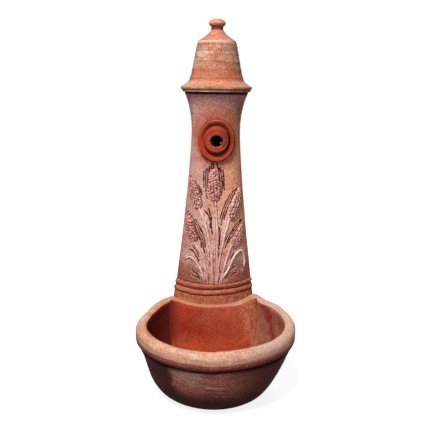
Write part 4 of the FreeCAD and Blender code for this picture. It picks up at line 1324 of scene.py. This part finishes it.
def basinFinish(sheet, color, height):
    where = sheet.where()
    right, forward, _ = sheet.measures(where)
    up = sheet.mask("level") * basin["levelSpan"]
    outer = 1.0 - sheet.mask("trough")
    soil = sheet.noise(where, 14.0, 6.0, 0.65)
    speckle = sheet.noise(where, 190.0, 4.0, 0.8)
    # the rim: drawn lines along it, orange towards the wall, greyer on its right, red and rough below, darkening down
    # the roll's underside with painted shade
    behind = forward - basin["axisY"]
    around = sheet.math("ARCTAN2", right, behind)
    reach = sheet.math("SQRT", right ** 2.0 + behind ** 2.0)
    drawn = sheet.noise(sheet.lay(around * 3.2, reach * 150.0, up * 190.0), 1.0, 5.0, 0.7)
    rear = forward.band(-0.125, -0.085, 0.72) * up.band(0.2, 0.21) * abs(right).band(0.15, 0.12, 1.0, 0.35)
    rough = up + (drawn - 0.5) * 0.022
    patchy = outer * speckle.band(0.66, 0.46, 1.0, 0.65)
    below = (up + sheet.noise(where, 24.0, 4.0, 0.6) * 0.012).band(0.1812, 0.1767)
    inner, strokes = troughTones(sheet, where, right, forward, up, soil, speckle)
    return sheet.paint(
        color,
        (drawn.band(0.52, 0.36, 0.55), (0.47, 0.190, 0.115)),
        (drawn.band(0.55, 0.70, 0.45), (0.90, 0.62, 0.44)),
        (rear, (0.48, 0.160, 0.076)),
        (right.band(0.02, 0.14) * soil.band(0.40, 0.56, 0.75, 0.15), (0.60, 0.40, 0.33)),
        (rough.band(0.2060, 0.1960) * patchy * 0.75, (0.44, 0.205, 0.140)),
        # the roll's underside: a red band, deepening into painted shade towards the crevice
        (rough.band(0.1950, 0.1888) * patchy * 0.92, (0.20, 0.038, 0.032)),
        (rough.band(0.1870, 0.1810) * patchy * 0.88, (0.110, 0.020, 0.020)),
        (below * outer, bowlSoilAndShade(sheet, where, right, forward, up, soil, speckle)),
        (sheet.mask("trough"), inner)), height + drawn * outer * 1.6 + strokes * 0.8


clays = {
    "columnClay": {
        "pieces": [columnPiece], "finish": columnFinish, "bump": 0.8,
        "clay": {"Base": (0.44, 0.150, 0.090), "Light": (0.66, 0.31, 0.215), "Dark": (0.25, 0.062, 0.038),
                 "Bloom": (0.57, 0.41, 0.40), "Bloom Amount": 0.65, "Drift": 0.7, "Grit": 1.35, "Bands": 0.25}},
    "reliefClay": {
        "pieces": [stemPiece, leafPiece], "bump": 0.8,
        "clay": {"Base": (0.68, 0.320, 0.245), "Light": (0.92, 0.64, 0.55), "Dark": (0.38, 0.110, 0.080),
                 "Bloom": (0.90, 0.72, 0.72), "Bloom Amount": 0.75, "Drift": 0.6, "Grit": 1.0, "Bands": 0.0}},
    "earClay": {
        "pieces": earPieces, "finish": earFinish, "bump": 0.8,
        "clay": {"Base": (0.55, 0.155, 0.120), "Light": (0.90, 0.46, 0.35), "Dark": (0.23, 0.038, 0.038),
                 "Bloom": (0.70, 0.48, 0.48), "Bloom Amount": 0.20, "Drift": 0.9, "Grit": 1.4, "Bands": 0.0}},
    "rosetteClay": {
        "pieces": [ringPiece, bossPiece], "finish": rosetteFinish, "bump": 0.5,
        "clay": {"Base": (0.25, 0.024, 0.011), "Light": (0.40, 0.066, 0.026), "Dark": (0.14, 0.014, 0.009),
                 "Bloom": (0.34, 0.10, 0.07), "Bloom Amount": 0.2, "Drift": 0.5, "Grit": 0.6, "Bands": 0.0}},
    "capClay": {
        "pieces": [capPiece, knobPiece], "finish": capFinish, "bump": 0.9,
        "clay": {"Base": (0.40, 0.155, 0.085), "Light": (0.64, 0.38, 0.255), "Dark": (0.22, 0.062, 0.034),
                 "Bloom": (0.66, 0.49, 0.42), "Bloom Amount": 0.65, "Drift": 0.75, "Grit": 1.15, "Bands": 1.0}},
    "basinClay": {
        "pieces": [basinPiece], "finish": basinFinish, "bump": 0.8,
        "clay": {"Base": (0.60, 0.30, 0.185), "Light": (0.80, 0.49, 0.34), "Dark": (0.38, 0.125, 0.075),
                 "Bloom": (0.70, 0.53, 0.46), "Bloom Amount": 0.45, "Drift": 0.75, "Grit": 0.9, "Bands": 0.0}},
}
for name, settings in clays.items():
    material = clayMaterial(name, settings)
    for piece in settings["pieces"]:
        piece.data.materials.append(material)


def metalMaterial(name, bright, dull, roughness, metallic=1.0, shine=0.5):
    # drawn or turned metal, or rubber: dulled in clouds, with fine lines round it
    material, sheet, shader = newShader(name)
    where = sheet.where()
    cloud = sheet.noise(where, 60.0, 5.0, 0.6)
    fine = sheet.noise(sheet.stretch(where, (60.0, 60.0, 900.0)), 1.0, 3.0, 0.6)
    sheet.put(shader.inputs["Base Color"], sheet.blend(cloud.band(0.35, 0.7), bright, dull))
    sheet.put(shader.inputs["Roughness"], cloud.band(0.3, 0.7, roughness + 0.2, roughness))
    shader.inputs["Metallic"].default_value = metallic
    shader.inputs["Specular IOR Level"].default_value = shine
    addBump(sheet, shader, fine, 0.15, 0.0004)
    return material


finishes = {
    "copper": metalMaterial("copperTube", (0.62, 0.30, 0.18), (0.30, 0.14, 0.09), 0.32),
    # the brass fittings behind the spout hole are painted near black, as shade
    "brass": metalMaterial("brassBlackedAsShade", (0.007, 0.005, 0.005), (0.003, 0.002, 0.003), 0.80, 0.0, 0.0),
    "zinc_steel": metalMaterial("zincPlate", (0.62, 0.63, 0.64), (0.40, 0.41, 0.43), 0.35),
    "black_rubber": metalMaterial("blackRubber", (0.02, 0.02, 0.02), (0.05, 0.05, 0.05), 0.6, 0.0),
    "grey_rubber": metalMaterial("greyRubber", (0.08, 0.08, 0.08), (0.14, 0.14, 0.14), 0.6, 0.0),
}
slots = {part["node"]: part["material_slot"] for part in frame["record"]["subparts"]}
for name, node in nodes.items():
    if slots.get(name) in finishes:
        for place in range(len(node.data.materials)):
            node.data.materials[place] = finishes[slots[name]]
print("materials made")


# Stage, light and camera

studio = {
    "cameraPlace": (-0.0613, -1.7830, 0.9065), "pitch": 12.73, "turn": -2.0, "roll": 0.8,
    "focalPixels": 560, "framePixels": 430,
    "keyPlace": (-0.62, -1.62, 3.02), "aim": (0, -0.1, 0.55), "keySize": 0.7, "keyPower": 114,
    "fillPlace": (-0.3, -3.0, 1.0), "fillSize": 1.0, "fillPower": 20,
    "backPlace": (0.7, 2.6, 1.5), "backSize": 1.6, "backPower": 34,
    "sky": (0.10, 0.10, 0.105), "floor": (0.40, 0.39, 0.38), "floorHalf": 2.2, "floorZ": -0.0004, "glow": 0.82,
}


def seenAsBackground(sheet):
    # 1 where the camera, a reflection or glass sees it, 0 for the light that it gives
    path = sheet.add("ShaderNodeLightPath").outputs
    seen = sheet.math("ADD", path["Is Camera Ray"], path["Is Glossy Ray"], True)
    return sheet.math("ADD", seen, path["Is Transmission Ray"], True)


def makeStage():
    line = np.linspace(-studio["floorHalf"], studio["floorHalf"], 3)
    x, y = np.meshgrid(line, line)
    points = spot(x, y, studio["floorZ"])
    mesh = bpy.data.meshes.new("pavingFloor")
    mesh.from_pydata(points.reshape(-1, 3).tolist(), [], wallOfFaces(3, 3, False, False).tolist())
    floor = bpy.data.objects.new("pavingFloor", mesh)
    bpy.context.scene.collection.objects.link(floor)
    material, sheet = newMaterial("paleFloor")
    matte = sheet.add("ShaderNodeBsdfDiffuse")
    sheet.put(matte.inputs["Color"], studio["floor"])
    glow = sheet.add("ShaderNodeEmission")
    glow.inputs["Strength"].default_value = studio["glow"]
    paper = sheet.add("ShaderNodeBsdfDiffuse")
    sheet.put(paper.inputs["Color"], (0.5, 0.5, 0.5))
    white = sheet.add("ShaderNodeAddShader")
    mix = sheet.add("ShaderNodeMixShader")
    for socket, value in ((white.inputs[0], glow.outputs[0]), (white.inputs[1], paper.outputs[0]),
                          (mix.inputs[0], seenAsBackground(sheet)), (mix.inputs[1], matte.outputs[0]),
                          (mix.inputs[2], white.outputs[0]),
                          (sheet.add("ShaderNodeOutputMaterial").inputs[0], mix.outputs[0])):
        sheet.put(socket, value)
    mesh.materials.append(material)


def makeWorld():
    world = bpy.data.worlds.new("studioSky")
    world.use_nodes = True
    bpy.context.scene.world = world
    world.node_tree.nodes.clear()
    sheet = Sheet(world.node_tree)
    sky = sheet.add("ShaderNodeBackground")
    sheet.put(sky.inputs["Color"], sheet.blend(seenAsBackground(sheet), studio["sky"], (1, 1, 1)))
    sheet.put(sheet.add("ShaderNodeOutputWorld").inputs[0], sky.outputs[0])


def makeLamp(kind):
    lamp = bpy.data.lights.new(kind + "Light", "AREA")
    lamp.size = studio[kind + "Size"]
    lamp.energy = studio[kind + "Power"]
    light = bpy.data.objects.new(kind + "Light", lamp)
    bpy.context.scene.collection.objects.link(light)
    place = studio[kind + "Place"]
    away = np.array(studio["aim"]) - np.array(place)
    light.location = place
    light.rotation_euler = (math.atan2(math.hypot(away[0], away[1]), -away[2]), 0,
                            math.atan2(away[1], away[0]) - math.pi / 2)


def makeCamera():
    lens = bpy.data.cameras.new("viewCamera")
    lens.sensor_width = 36
    lens.lens = studio["focalPixels"] / studio["framePixels"] * lens.sensor_width
    camera = bpy.data.objects.new("viewCamera", lens)
    bpy.context.scene.collection.objects.link(camera)
    camera.location = studio["cameraPlace"]
    turned = Matrix.Identity(3)
    for degrees, axis in ((studio["turn"], "Z"), (90 - studio["pitch"], "X"), (studio["roll"], "Z")):
        turned = turned @ Matrix.Rotation(math.radians(degrees), 3, axis)
    camera.rotation_euler = turned.to_euler()
    bpy.context.scene.camera = camera


makeStage()
makeWorld()
for kind in ("key", "fill", "back"):
    makeLamp(kind)
makeCamera()
bpy.context.scene.view_settings.view_transform = "Standard"
print("stage, lights and camera made")
